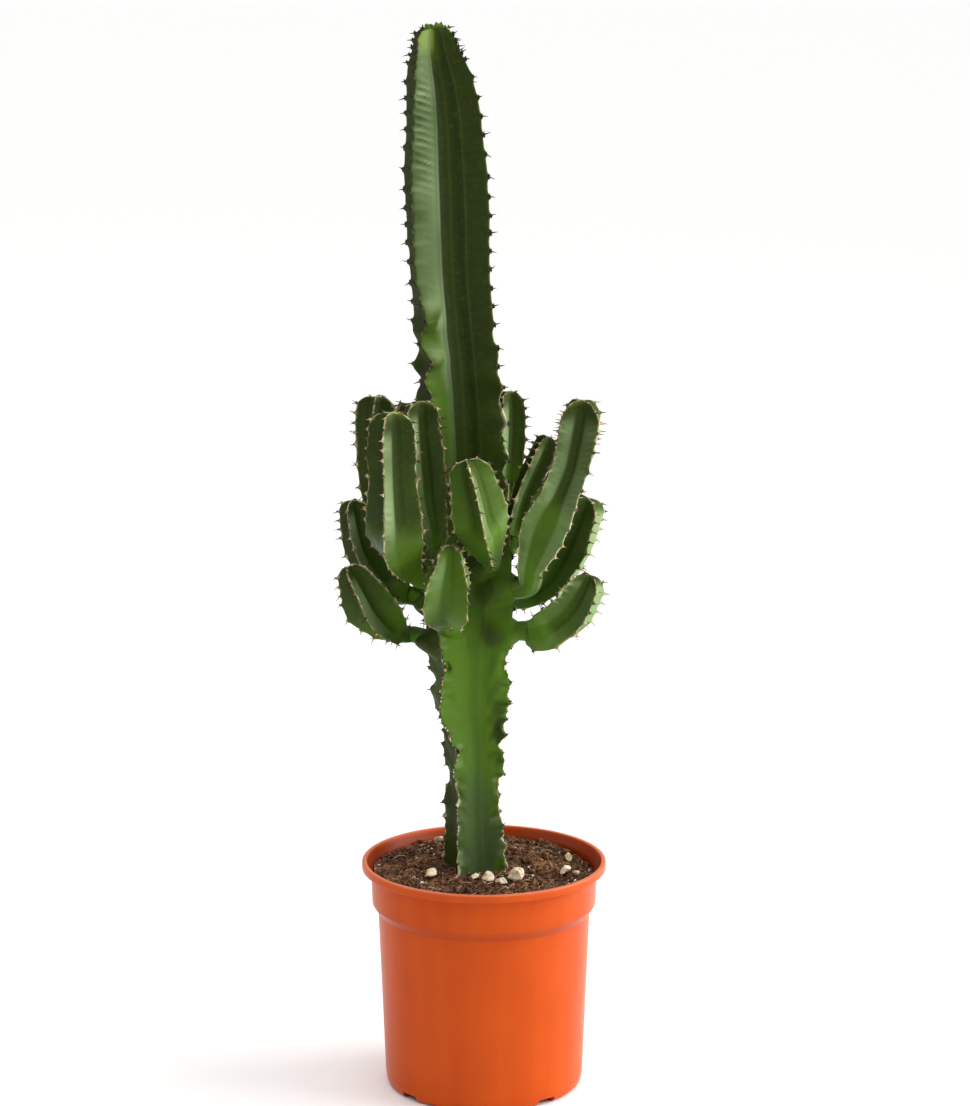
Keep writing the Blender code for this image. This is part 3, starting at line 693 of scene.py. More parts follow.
def readStem(rows, look, turn, start, first, seed):
    # Rings every ringStep along the route, closer over the dome; a side direction carried down from the
    # tip with as little turning as it can; and the phase of the teeth, which crowd together at the tip.
    curve = smoothRoute(rows)
    length = lengthsAlong(curve)[-1]
    domeLength = look["dome"] * rows[-1][3] * mm
    shoulder = length - domeLength
    count = int((shoulder - first) / (look["ringStep"] * mm))
    arc = np.linspace(0, 0.5 * math.pi * domeEnd, domeRings)[1:]
    distances = np.concatenate([np.linspace(first, shoulder, count), shoulder + domeLength * np.sin(arc)])
    places = sampleAt(curve, distances)
    near = 0.5 * mm
    forward = unit(sampleAt(curve, distances + near)[:, :3] - sampleAt(curve, distances - near)[:, :3])
    side = np.zeros_like(forward)
    guide = np.array([math.cos(math.radians(turn)), -math.sin(math.radians(turn)), 0.0])
    for index in range(len(forward) - 1, -1, -1):
        guide = guide - forward[index] * guide.dot(forward[index])
        guide = guide / np.linalg.norm(guide)
        side[index] = guide
    half = (shoulder - start) / max(4, round((shoulder - start) / (look["pitch"] * mm / 2)))
    crowd = np.clip(distances - (shoulder - toothLook["crowdLength"] * mm), 0, None)
    uneven = latticeNoise(distances[:, None] * np.array([1, 0, 0]), toothLook["unevenCell"] * mm, seed + 13)
    uneven = toothLook["unevenness"] * uneven
    dome = np.sqrt(1 - np.clip((distances - shoulder) / domeLength, 0, 1) ** 2)
    places[:, :3] -= look["sink"] * mm * smoothStep((0.72 - dome) / 0.6)[:, None] * forward
    return SimpleNamespace(
        look=look, seed=seed, start=start, main=start == 0, distances=distances, places=places,
        forward=forward, side=side, depth=np.cross(forward, side), dome=dome,
        phase=(distances - start + look["crowding"] * crowd) / half + uneven,
        along=(distances - start) / (length - start),
        turns=math.radians(look["twist"]) * (1 - distances / length),
        wax=1.0, fresh=0.0, veil=0.0, ripples=1.0, full=np.zeros((len(distances), 1)))


def trunkShare(stem):
    # 1 on the old trunk, 0 above it and on the branches.
    if not stem.main:
        return np.zeros((len(stem.distances), 1))
    return smoothStep((stemLook["trunkTop"] - stem.places[:, 2, None] / mm) / stemLook["trunkFade"])


def mounds(stem, angle):
    # On the main stem the skin swells out to meet each branch: distance of the neck from the axis times
    # exp(-(d / w)^2), with d measured on the skin from the line of the neck.
    away = np.full(angle.shape, -1.0)
    for _, rows in branchRoutes.values():
        neck = (np.array(rows[0], dtype=float) + plantShift) * mm
        height = neck[2] - skinRelief["moundDrop"] * mm
        row = int(np.argmin(np.abs(stem.places[:, 2] - height)))
        gap = neck[:2] - stem.places[row, :2]
        flat = math.atan2(gap @ stem.depth[row, :2], gap @ stem.side[row, :2])
        around = (angle - flat + math.pi) % math.tau - math.pi
        wide = skinRelief["moundSpread"] * neck[3] + skinRelief["moundWidth"] * mm
        reach = np.linalg.norm(gap)
        spot = (around * 0.75 * reach) ** 2 + (stem.places[:, 2, None] - height) ** 2
        away = np.maximum(away, (reach + 1 * mm) * np.exp(-spot / wide ** 2))
    return away


def ribReach(stem, offset, rib, angle):
    # Reach = radius x dome x section, blended to a circle at the neck, plus teeth and lobes near the
    # crest, ripples on the faces, low swellings, and a rough crust on the old ribs of the trunk. The
    # crest also sways sideways, which is given as a turn.
    look = stem.look
    height, along, dome = stem.places[:, 2, None], stem.distances[:, None], stem.dome[:, None]
    radius = stem.places[:, 3, None] * dome
    trunk = trunkShare(stem)
    ribbed = np.ones_like(radius)
    if not stem.main:
        ribbed = smoothStep((along - stem.start) / (look["roundLength"] * mm))
    section = np.interp(offset, sectionAngles, sectionShares)
    section = section + stem.full * (np.interp(offset, sectionAngles, fullShares) - section)
    nearCrest = bell(section, 1, 0.15) * ribbed
    spots = np.stack([radius * np.cos(angle), radius * np.sin(angle),
                      np.broadcast_to(along, angle.shape)], axis=-1)

    def noise(row, number):
        cell, strength = row
        return strength * latticeNoise(spots, cell * mm, stem.seed + number)

    def relief(name, number):
        cell, tall = skinRelief[name]
        return noise((cell, tall * mm), number)

    wave = (1 + np.cos(math.pi * (stem.phase[:, None] - rib))) / 2
    crest = look["tooth"] * mm * (1.5 * wave ** 4 - 0.5) * (0.35 + 0.65 * dome) + relief("crest", 7)
    if stem.main:
        lobes = np.sin(math.tau * height / (look["lobePitch"] * mm) + 1.3 * rib)
        lobes = look["lobeHeight"] * lobes * bell(height / mm, look["lobeMiddle"], look["lobeSpread"])
        ragged = trunk * np.choose(rib, [valueAt(height, rows) for rows in trunkCrests])
        crest = crest + mm * (lobes + ragged + (rib == 2) * valueAt(height, backCrest))
    # Ripples: waves along the stem that climb towards the crest, patchy, fading in crest and groove
    onFlank = np.clip(offset / 22.5, 0, 1)
    onFace = smoothStep(onFlank / 0.16) * smoothStep((0.76 - onFlank) / 0.34)
    rise = look["rippleRise"] * mm * (1 - onFlank) ** 1.4
    wobble = noise(rippleLook["wobble"], 1)
    patchy = smoothStep(0.8 + noise(rippleLook["patches"], 2)) * stem.ripples
    patchy = patchy * np.clip(0.7 + noise(rippleLook["breaks"], 14), 0.15, 1.2)
    if stem.main:
        patchy = patchy * valueAt(height, columnRipples)
    ripple = np.sin(math.tau * (along - rise) / (look["rippleStep"] * mm) + wobble)
    ripple = ripple * onFace * patchy * ribbed * dome * (1 - 0.6 * stem.full)
    reach = radius * (1 + ribbed * (section - 1)) + nearCrest * crest + look["rippleHeight"] * mm * ripple
    reach = reach + dome * (relief("swelling", 3) + relief("unevenness", 4))
    old = 0.0
    if stem.main:
        old = smoothStep((skinRelief["oldTop"] - height / mm) / skinRelief["oldFade"])
    reach = reach + (0.7 * trunk + 0.4 * old) * bell(offset, 0, 4.0) * relief("crust", 5)
    if stem.main:
        pitch, tall = skinRelief["fold"]
        folds = np.sin(math.tau * (along - 1.4 * rise) / (pitch * mm) + 2 * wobble) * onFace
        reach = reach + trunk * tall * mm * folds
        soft = skinRelief["weld"] * mm
        reach = reach + soft * np.logaddexp(0, (mounds(stem, angle) - reach) / soft)
    places = np.stack(np.broadcast_arrays(rib * 0.04, 0.0, along), axis=-1)
    most = look["sway"] + trunk * (stemLook["trunkSway"] - look["sway"])
    sway = most * latticeNoise(places, 19 * mm, stem.seed + 12) * nearCrest
    if stem.main:
        lean = valueAt(height + 17 * mm * (3 - rib), columnSways) * np.where(rib == 3, 1, 0.5)
        sway = sway + lean * bell(section, 1, 0.3)
    return reach, ripple, old, wave, spots, sway * mm / reach


keyLightWay = np.array([0.96, -0.16, 0.22])   # the side the key light comes from: faces turned to it get painted sheen, faces turned away painted shade
# Age colour: 0 old blue-green foot, 0.3 fresh trunk, 0.78 dark column, 1 new growth. By height in mm on
# the main stem, and by the share of the length on a branch.
mainTones = [
    (200, 0.0), (290, 0.06), (325, 0.24), (400, 0.30), (470, 0.31), (520, 0.40), (560, 0.52), (640, 0.58),
    (720, 0.70), (985, 0.74), (1030, 0.85), (1046, 0.89)]
branchTones = [
    (-0.2, 0.36), (0.0, 0.34), (0.15, 0.36), (0.4, 0.48), (0.55, 0.58), (0.75, 0.64), (0.95, 0.70),
    (1.0, 0.95)]
# Where the skin gets painted sheen, a painted highlight line, painted light and painted shade, and where its
# horny margins stand. Heights and widths in mm, angles in degrees from the crest.
sheenShadeHornLook = {
    "mainEdge": 22.5, "branchEdge": 24.0,       # the painted sheen ends here
    "lineAngle": 19.6, "lineWidth": 1.3,        # the painted highlight line beside the groove
    "fullFrom": 772.0,                          # above this height the painted sheen covers the whole face
    "patchHeight": 739.0, "patchSpread": 8.0,   # and in a patch here
    # a fresher, lighter green painted on the side facing the key light, above the branches and at the tip
    "freshHeight": 712.0, "freshSpread": 72.0, "litGreenShift": 0.38,
    "tipFrom": 990.0, "tipLitShift": 0.12,
    "hornHeight": 640.0, "hornSpread": 90.0,    # the horny margins among the branches
    "deepest": 0.79,                            # the tone that painted shade moves the side turned from the light towards
    "deepestTrunk": 0.74,
}


def skinValues(stem, rings, fromRib, reach, ripple, old, wave, spots):
    # What the material reads. Cork: a thin margin on the crest, wider at each tooth and on the old foot,
    # none on a round neck.
    def noise(cell, number):
        return latticeNoise(spots, cell * mm, stem.seed + number)

    height, trunk, look = stem.places[:, 2, None] / mm, trunkShare(stem), sheenShadeHornLook
    lateral = reach * np.sin(np.radians(fromRib)) / mm
    ragged = noise(5, 6)
    ribbed = smoothStep((stem.distances[:, None] / mm - stem.start / mm - 8) / 20 + stem.main)
    margin = 0.5 + 0.4 * ragged + 0.6 * wave ** 6 + old * (0.3 + 1.2 * ragged)
    if stem.main:
        horny = bell(height, look["hornHeight"], look["hornSpread"]) * smoothStep(0.6 + ragged)
        margin = margin - 0.2 + 0.8 * horny
        corkShade = 0.02 + 0.4 * old + 0.36 * horny
        tone = np.where(stem.dome[:, None] < 0.45, 0.8, valueAt(height * mm, mainTones))
    else:
        corkShade = 0.28 + 0.2 * noise(40, 9)
        tone = np.interp(stem.along[:, None], *np.array(branchTones).T) - 0.06 * stem.full + stem.fresh
    cork = smoothStep((margin - lateral) / 0.7 + 0.5) * ribbed
    # Painted sheen: pale grey-green where the surface faces the key light, more on the dark old skin than on
    # the fresh green, with wax all round some branches; on the trunk only in patches beside the crests. The
    # side turned from the light gets painted shade, a deeper green.
    around = np.roll(rings, -1, axis=1) - np.roll(rings, 1, axis=1)
    facing = unit(np.cross(around, np.gradient(rings, axis=0))) @ keyLightWay
    bloom = smoothStep((facing - 0.3) / 0.55) * (0.2 + 0.8 * smoothStep((tone - stem.fresh - 0.34) / 0.3))
    bloom = bloom * np.clip(0.6 + 0.35 * noise(24, 8), 0, 1) * stem.wax
    bloom = bloom + stem.veil * np.clip(0.8 + 0.4 * noise(16, 15), 0, 1)
    sheenTo = look["mainEdge"] if stem.main else look["branchEdge"]
    bloom = bloom * smoothStep((sheenTo - fromRib) / 4) * (1 - trunk)
    if stem.main:
        # Low on the column the painted sheen keeps to the half of the face beside the groove
        lowSheen = smoothStep((fromRib - 10 + 6 * noise(14, 16)) / 6)
        highSheen = 0.5 + 0.5 * smoothStep((fromRib - 1) / 5)
        high = smoothStep((height - look["fullFrom"]) / 18)
        high = np.maximum(high, 0.8 * bell(height, look["patchHeight"], look["patchSpread"]))
        bloom = bloom * valueAt(height * mm, columnSheen) * (lowSheen + (highSheen - lowSheen) * high)
        # A painted highlight line along the groove's edge, carried by the ripple value
        edge = bell(fromRib, look["lineAngle"], look["lineWidth"]) * np.clip((height - 560) / 60, 0, 1)
        ripple = np.maximum(ripple, 0.9 * edge * (1 - trunk))
        # Painted light: a fresher, lighter green on the side facing the key light above the branches, and at
        # the tip
        fresh = bell(height, look["freshHeight"], look["freshSpread"])
        fresh = fresh * np.clip(0.8 + 0.5 * noise(20, 17), 0, 1) * smoothStep((19 - fromRib) / 6)
        tone = tone - look["litGreenShift"] * fresh * smoothStep((facing - 0.2) / 0.5)
        atTip = smoothStep((height - look["tipFrom"]) / 50)
        tone = tone + look["tipLitShift"] * atTip * smoothStep((facing - 0.1) / 0.5)
    else:
        bloom = bloom * (1 - smoothStep((stem.along[:, None] - 0.84) / 0.1))
    # Grey-green patches beside the trunk's crests, only on faces turned towards the key light: partly wax,
    # partly painted sheen
    patches = smoothStep(0.3 + 1.4 * noise(9, 10)) * smoothStep((facing + 0.1) / 0.4)
    patches = patches * (0.4 + 0.6 * old) * smoothStep((5 + 4 * ragged - lateral) / 4)
    bloom = np.clip(bloom, 0, 1) + 0.65 * trunk * patches
    # Painted shade: the side turned from the key light moves towards a deep green
    paintedShade = smoothStep((0.15 - facing) / 0.6)
    tone = tone + paintedShade * (np.minimum(0.12, look["deepest"] - tone)
                            + 0.95 * trunk * (look["deepestTrunk"] - tone))
    place = 1 - (1 - stem.full) * fromRib / 45.0
    if stem.main:
        grooveShade, line = 0.35 * smoothStep((0.68 - place) / 0.08) * (1 - 0.5 * trunk), 1 - 0.6 * trunk
    else:
        grooveShade, line = 0.24 * smoothStep((0.82 - place) / 0.5), 0.3
    values = {"rib": place, "grooveShade": grooveShade, "line": line, "tone": tone, "ripple": ripple, "cork": cork,
              "bloom": bloom, "corkShade": corkShade}
    flat = np.zeros_like(reach)
    return {key: withPoles((value + flat)[None, ..., None])[..., 0] for key, value in values.items()}


def makeStem(stem, name, node):
    # The skin: rings of points at the reach above, round the route, rib by rib.
    offsets = np.array(stem.look["offsets"], dtype=float)
    quarter = np.concatenate([offsets, [45.0], 90.0 - offsets[:0:-1]])
    fromRib = np.tile(np.minimum(quarter, 90.0 - quarter), ribCount)[None, :]
    nearest = np.concatenate([np.where(quarter <= 45.0, k, k + 1) for k in range(ribCount)])[None, :]
    degrees = np.concatenate([quarter + 90.0 * k for k in range(ribCount)])
    angle = np.radians(degrees)[None, :] + stem.turns[:, None]
    reach, ripple, old, wave, spots, sway = ribReach(stem, fromRib, nearest % ribCount, angle)
    angle = angle + sway
    outward = np.cos(angle)[..., None] * stem.side[:, None] + np.sin(angle)[..., None] * stem.depth[:, None]
    rings = stem.places[:, None, :3] + reach[..., None] * outward
    values = skinValues(stem, rings, fromRib, reach, ripple, old, wave, spots)
    mesh = meshFrom(name, withPoles(rings[None]), *tubeFaces(*rings.shape[:2]), values)
    finishPiece(mesh, skinMaterial, [node])
    stems[name[:-len("Skin")]] = stem


stems = {}
mainStem = readStem(stemRoute, stemLook, stemLook["turn"], 0.0, 0.0, 11)
mainStem.full = stemLook["trunkFull"] * trunkShare(mainStem)
makeStem(mainStem, "mainStemSkin", "main_stem")
for number, (node, (turn, rows)) in enumerate(branchRoutes.items()):
    route = rooted(rows)
    neck = lengthsAlong(smoothRoute(route))[routeSteps]
    look = {**branchLook, "roundLength": shortRound.get(node, branchLook["roundLength"])}
    stem = readStem(route, look, turn, neck, 0.5 * neck, 100 + 10 * number)
    stem.wax, stem.fresh, fullTo, stem.veil, stem.ripples = branchHabits.get(node, usualHabit)
    stem.full = 1 - smoothStep((stem.along[:, None] - fullTo) / 0.12)
    first, *words = node.split("_")
    makeStem(stem, first + "".join(word.capitalize() for word in words) + "Skin", node)
print("main stem and", len(branchRoutes), "branches made")


# Spines

spineLook = {
    "length": 6.3,             # mm
    "radius": 0.72,            # mm at the foot
    "out": 0.74, "across": 0.6, "along": 0.05,   # shares of the ways that a spine points
    "lift": 0.16,              # how unevenly they rise
    "lowest": 232.0, "highest": 2000.0,      # mm, spine pairs stand between these heights
    "sunk": 0.9,               # mm, how deep the foot lies in the skin
    "pad": (2.3, 1.0, 0.95),   # mm, its length, width and height before padScale
    "padScale": 0.72, "padRoughness": 0.35,
    "padSunk": 0.2,            # mm
    "darkness": 0.0,           # added to the horn's colour place, 0 cream to 1 nearly black
}
trunkSpineLook = {**spineLook, "length": 4.6, "radius": 0.75, "lift": 0.4, "lowest": 250.0, "highest": 478.0,
                  "pad": (2.4, 1.0, 1.3), "darkness": 0.25}
columnSpineLook = {**spineLook, "length": 6.6, "radius": 0.9, "lift": 0.3, "lowest": 478.0,
                   "pad": (3.6, 1.4, 1.6), "darkness": 0.7}
spineRings, spineSides = 6, 6
spineTaper = np.interp(np.linspace(0, 1, spineRings), [0, 0.2, 0.6, 1], [1.15, 0.8, 0.5, 0.09])


def crestPoints(stem, scale, spots, look):
    # Points of the crests, their outward ways and the stem's way, where the scale reaches the rib's spots.
    found = []
    for rib in range(ribCount):
        angle = stem.turns + rib * math.tau / ribCount
        reach, *_, sway = ribReach(stem, np.zeros((1, 1)), rib, angle[:, None])
        angle = angle + sway[:, 0]
        outward = np.cos(angle)[:, None] * stem.side + np.sin(angle)[:, None] * stem.depth
        rows = np.hstack([stem.places[:, :3] + reach * outward, outward, stem.forward])
        found.append(np.array([np.interp(spots[rib], scale, column) for column in rows.T]).T)
    found = np.vstack(found)
    found = found[(found[:, 2] > look["lowest"] * mm) & (found[:, 2] < look["highest"] * mm)]
    return found[:, :3], unit(found[:, 3:6]), unit(found[:, 6:9])


def makeSpines(stem, name, look, seed):
    # A pair of curved horns and a small pad at every tooth, where the phase less the rib is even.
    draw = np.random.default_rng(seed)
    teeth = [np.arange(2 + rib % 2, stem.phase[-2], 2.0) for rib in range(ribCount)]
    crest, out, along = crestPoints(stem, stem.phase, teeth, look)
    across = np.cross(along, out)
    count = len(crest)
    paths, radii, helpers = [], [], []
    share = np.linspace(0, 1, spineRings)[None, :, None]
    root = (crest - out * look["sunk"] * mm)[:, None, :]
    for hand in (-1, 1):
        spread = look["across"] * draw.uniform(0.75, 1.2, (count, 1)) * hand
        lift = look["along"] + draw.normal(0, look["lift"], (count, 1))
        way = unit(look["out"] * out + spread * across + lift * along)
        size = look["length"] * mm * draw.uniform(0.72, 1.12, (count, 1, 1))
        bow = across * hand * draw.uniform(-0.05, 0.12, (count, 1))
        bow = bow - along * draw.uniform(-0.08, 0.1, (count, 1))
        paths.append(root + size * (share * way[:, None] + share ** 2 * bow[:, None]))
        radii.append(look["radius"] * mm * draw.uniform(0.85, 1.15, (count, 1)) * spineTaper)
        helpers.append(unit(np.cross(way, along)))
    points = placeTubes(np.vstack(paths), np.vstack(radii), spineSides, np.vstack(helpers))
    pale = draw.uniform(0, 1, count) < 0.4
    shade = np.where(pale, draw.uniform(-0.15, 0.1, count), draw.uniform(0.3, 0.6, count))
    shade = look["darkness"] + shade[:, None, None, None]
    shares = np.tile(shade, (2, 1, 1, 1)) + np.linspace(0.12, 1, spineRings)[None, :, None, None]
    shares = np.broadcast_to(shares, (2 * count, spineRings, spineSides, 1))
    mesh = meshFrom(name, points, *tubeFaces(spineRings, spineSides), {"share": withPoles(shares)})
    finishPiece(mesh, hornMaterial)
    ball, faces = ballPoints(2)
    turns = np.stack([along, across, out], axis=-1)
    sizes = np.array(look["pad"]) * mm * draw.uniform(0.8, 1.2, (count, 3)) * look["padScale"]
    lumps = placeLumps(ball, crest - look["padSunk"] * mm * out, turns, sizes, look["padRoughness"], seed)
    shares = np.broadcast_to(0.25 + shade[:, :, 0, 0], lumps.shape[:2])
    finishLumps(name.replace("Spines", "Pads"), lumps, faces, hornMaterial, {"share": shares})
    return 2 * count


# Lengths and sizes in mm.
beadLook = {
    "step": 4.3, "wander": 0.8,              # from bead to bead, and how unevenly
    "size": (1.5, 0.8, 0.95), "roughness": 0.35, "sunk": 0.2, "seed": 610,
    "reach": 310.0, "lowest": 214.0, "highest": 440.0,
}
scaleLook = {
    "reach": 0.8,                            # share of the tip's radius
    "beside": (0.3, 0.6),                    # turn and reach of the scales beside a rib's end
    "lean": 0.45,                            # outwards
    "size": (2.1, 2.8, 5.0), "roughness": 0.4, "seed": 620,
    "tone": 0.95,
}


def makeBeads(stem, look):
    # Corky beads close together along the crests of the trunk.
    draw = np.random.default_rng(look["seed"])
    places = [np.arange(0, look["reach"], look["step"]) * mm] * ribCount
    crest, out, along = crestPoints(stem, stem.distances, places, look)
    crest = crest + along * draw.normal(0, look["wander"] * mm, (len(crest), 1))
    sizes = np.array(look["size"]) * mm * draw.uniform(0.4, 1.3, (len(crest), 3))
    ball, faces = ballPoints(2)
    turns = np.stack([along, np.cross(along, out), out], axis=-1)
    centres = crest - look["sunk"] * mm * out
    lumps = placeLumps(ball, centres, turns, sizes, look["roughness"], look["seed"] + 1)
    shares = np.broadcast_to(draw.uniform(-0.05, 0.5, (len(crest), 1)), lumps.shape[:2])
    finishLumps("trunkBeads", lumps, faces, hornMaterial, {"share": shares})


def makeScales(stem, look):
    # Young yellow-green scales round the hollow of the tip: at each rib's end and beside it.
    draw = np.random.default_rng(look["seed"])
    ball, faces = ballPoints(2)
    row = int(np.argmin(np.abs(stem.dome - 0.5)))
    angle = np.repeat(stem.turns[-1] + np.arange(ribCount) * math.tau / ribCount, 3)
    turned, near = look["beside"]
    angle = angle + np.tile([-turned, 0.0, turned], ribCount) + draw.normal(0, 0.08, len(angle))
    out = np.cos(angle)[:, None] * stem.side[row] + np.sin(angle)[:, None] * stem.depth[row]
    share = look["reach"] * np.tile([near, 1.0, near], ribCount) * draw.uniform(0.8, 1.15, len(angle))
    centres = stem.places[row, :3] + out * (stem.places[row, 3] * stem.dome[row] * share)[:, None]
    way = unit(stem.forward[row] + look["lean"] * out)
    across = np.cross(way, unit(np.cross(stem.forward[row], out)))
    turns = np.stack([across, np.cross(way, across), way], axis=-1)
    sizes = np.array(look["size"]) * mm * draw.uniform(0.6, 1.2, (len(angle), 3))
    lumps = placeLumps(ball, centres, turns, sizes, look["roughness"], look["seed"] + 1)
    levels = {"rib": 1.0, "grooveShade": 0.0, "line": 0.0, "tone": look["tone"], "ripple": 0.0, "cork": 0.0,
              "bloom": 0.0, "corkShade": 0.0}
    values = {key: np.full(lumps.shape[:2], level) for key, level in levels.items()}
    finishLumps("youngScales", lumps, faces, skinMaterial, values)


makeBeads(mainStem, beadLook)
makeScales(mainStem, scaleLook)
spineTotal = makeSpines(mainStem, "trunkSpines", trunkSpineLook, 499)
for number, (name, stem) in enumerate(stems.items()):
    spineTotal += makeSpines(stem, name + "Spines", columnSpineLook if stem.main else spineLook, 500 + number)
print(spineTotal, "spines made")


# Soil

soilLook = {
    "level": 215.5,            # mm
    "slope": 0.03,             # rise towards the back
    "lean": -0.03,             # rise towards the right, here a fall
    "gridSteps": 270,
    "hollow": 2.0,             # mm round the stem
    "heapHeight": 3.0,         # mm at the back
    "mound": 45.0,             # mm, width of the hollow and the heap
    "crumbs": 2400,
    "clods": 340,
    "fibres": 1600,
    "perlite": 75,
    "looseReach": 105.5,       # mm from the axis
    "fibreReach": 97.0,
    "fibreStop": 106.0,        # mm, no fibre passes this radius
    "fibreLength": (5, 19),    # mm, the shortest and what the longest has more
    "fibreThick": (0.16, 0.42),
    "fibreSteps": 8, "fibreSides": 4, "fibreSeed": 71,
}
# Loose pieces: level of the ball, count, smallest and largest size in mm, material, unevenness, how far
# the middle stands out as a share of the size, and seed.
loosePieces = {
    "soilCrumbs": (1, soilLook["crumbs"], 1.2, 4.5, peatMaterial, 0.35, 0.35, 72),
    "soilClods": (2, soilLook["clods"], 3.5, 10.5, peatMaterial, 0.6, 0.12, 73),
    "perliteGrains": (2, soilLook["perlite"], 1.4, 4.2, perliteMaterial, 0.4, 0.5, 74),
}
# Where the soil meets the pot, radius and height in mm.
soilWall = [(108.3, 215.5), (107.4, 185.1), (101.6, 176.6), (94.7, 10.5), (91.8, 4.8), (88.0, 2.6)]
# Noise of the soil: cell and height in mm, and seed.
soilGrain = [(26, 1.3, 31), (9, 1.1, 32), (4, 0.8, 33), (2, 0.4, 34)]


def soilHeight(x, y):
    # Low waves, a rise to the back and left, a hollow round the stem, a heap, and noise of 26 to 2 mm.
    wide, tall, look = x / mm, y / mm, soilLook
    height = 1.6 * np.sin(wide / 17 + 1) * np.cos(tall / 21 + 0.5) + np.sin((wide + tall) / 11)
    height = height + look["slope"] * tall + look["lean"] * wide
    height = height - look["hollow"] * bell(np.hypot(wide + 8, tall - 12), 0, look["mound"])
    height = height + look["heapHeight"] * bell(np.hypot(wide - 15, tall - 60), 0, look["mound"])
    spots = np.stack([x, y, np.zeros_like(x)], axis=-1)
    for cell, rise, seed in soilGrain:
        height = height + rise * latticeNoise(spots, cell * mm, seed)
    return (look["level"] + height) * mm


def makeSoil(look):
    # A square grid pressed into a disc, x = R u sqrt(1 - v^2 / 2), y = R v sqrt(1 - u^2 / 2), raised to
    # the soil's height; the rim goes down the pot's inner wall to a flat bottom.
    steps = look["gridSteps"]
    u, v = np.meshgrid(np.linspace(-1, 1, steps), np.linspace(-1, 1, steps), indexing="ij")
    edge = soilWall[0][0] * mm
    x = edge * u * np.sqrt(1 - v * v / 2)
    y = edge * v * np.sqrt(1 - u * u / 2)
    top = np.stack([x, y, soilHeight(x, y)], axis=-1).reshape(-1, 3)
    index = np.arange(steps * steps).reshape(steps, steps)
    quads = np.stack([index[:-1, :-1], index[1:, :-1], index[1:, 1:], index[:-1, 1:]], axis=-1).reshape(-1, 4)
    rim = np.concatenate([index[:-1, 0], index[-1, :-1], index[:0:-1, -1], index[0, :0:-1]])
    rimTurn = np.arctan2(top[rim, 1], top[rim, 0])
    rings = [np.stack([radius * mm * np.cos(rimTurn), radius * mm * np.sin(rimTurn),
                       np.full(len(rim), height * mm)], axis=-1) for radius, height in soilWall[1:]]
    loops = [rim] + [len(top) + k * len(rim) + np.arange(len(rim)) for k in range(len(rings))]
    walls = [np.stack([lower, np.roll(lower, -1), np.roll(upper, -1), upper], axis=-1)
             for upper, lower in zip(loops, loops[1:])]
    middle = len(top) + len(rings) * len(rim)
    fan = np.stack([np.roll(loops[-1], -1), loops[-1], np.full(len(rim), middle)], axis=-1)
    points = np.vstack([top] + rings + [[0.0, 0.0, soilWall[-1][1] * mm]])
    mesh = meshFrom("soilSurface", points[None], np.vstack([quads] + walls), fan)
    finishPiece(mesh, peatMaterial, ["soil"])


def scatter(draw, count, reach):
    # Even spots over the disc: radius R sqrt(a), turn 2 pi b, with a and b random.
    radius = reach * mm * np.sqrt(draw.uniform(0, 1, count))
    turn = draw.uniform(0, math.tau, count)
    return radius * np.cos(turn), radius * np.sin(turn)


def makeLoose(name, level, count, smallest, largest, material, unevenness, sink, seed):
    # Lumps lying on the soil, most of them small: size = smallest + (largest - smallest) a^3.
    draw = np.random.default_rng(seed)
    x, y = scatter(draw, count, soilLook["looseReach"])
    size = (smallest + (largest - smallest) * draw.uniform(0, 1, count) ** 3) * mm / 2
    sizes = size[:, None] * draw.uniform(0.6, 1.15, (count, 3))
    centres = np.stack([x, y, soilHeight(x, y) + size * sink], axis=-1)
    ball, faces = ballPoints(level)
    lumps = placeLumps(ball, centres, randomTurns(draw, count), sizes, unevenness, seed)
    finishLumps(name, lumps, faces, material)


def makeFibres(look):
    # Strands that wander over the soil: heading = start + slow turn + wobble, height above it an arch.
    draw = np.random.default_rng(look["fibreSeed"])
    count, steps, sides = look["fibres"], look["fibreSteps"], look["fibreSides"]
    x, y = scatter(draw, count, look["fibreReach"])
    shortest, more = look["fibreLength"]
    length = (shortest + more * draw.uniform(0, 1, count) ** 1.8) * mm
    share = np.linspace(0, 1, steps)[None]
    heading = draw.uniform(0, math.tau, (count, 1)) + draw.uniform(-1.1, 1.1, (count, 1)) * share
    heading = heading + np.cumsum(draw.normal(0, 0.16, (count, steps)), axis=1)
    walk = np.stack([np.cos(heading), np.sin(heading)], axis=-1).cumsum(axis=1)
    flat = np.stack([x, y], axis=-1)[:, None] + walk * length[:, None, None] / steps
    flat = flat * np.minimum(1, look["fibreStop"] * mm / np.linalg.norm(flat, axis=-1, keepdims=True))
    arch = draw.uniform(0.2, 2.6, (count, 1)) ** 1.5 * mm * np.sin(math.pi * share)
    arch = arch * draw.uniform(0, 1, (count, 1))
    height = soilHeight(flat[..., 0], flat[..., 1]) + 0.3 * mm + arch
    paths = np.concatenate([flat, height[..., None]], axis=-1)
    thinnest, more = look["fibreThick"]
    thick = (thinnest + more * draw.uniform(0, 1, (count, 1)) ** 2) * mm
    radii = thick * np.interp(share, [0, 0.15, 0.85, 1], [0.5, 1, 1, 0.4])
    points = placeTubes(paths, radii, sides, np.broadcast_to([0.0, 0.0, 1.0], (count, 3)))
    tint = np.broadcast_to(draw.uniform(0, 1, (count, 1)) ** 1.1, points.shape[:2])
    mesh = meshFrom("coirFibres", points, *tubeFaces(steps, sides), {"tint": tint})
    finishPiece(mesh, coirMaterial)


makeSoil(soilLook)
for name, values in loosePieces.items():
    makeLoose(name, *values)
makeFibres(soilLook)
print("soil made")


# Stones

stoneLook = {
    "count": 9, "planes": 9, "level": 5, "seed": 40,
    "sharpness": 18,                         # of the edges between the planes
    "rough": [(4.5, 0.9, 80), (1.6, 0.3, 90)],   # mm, cell and height, and seed
}


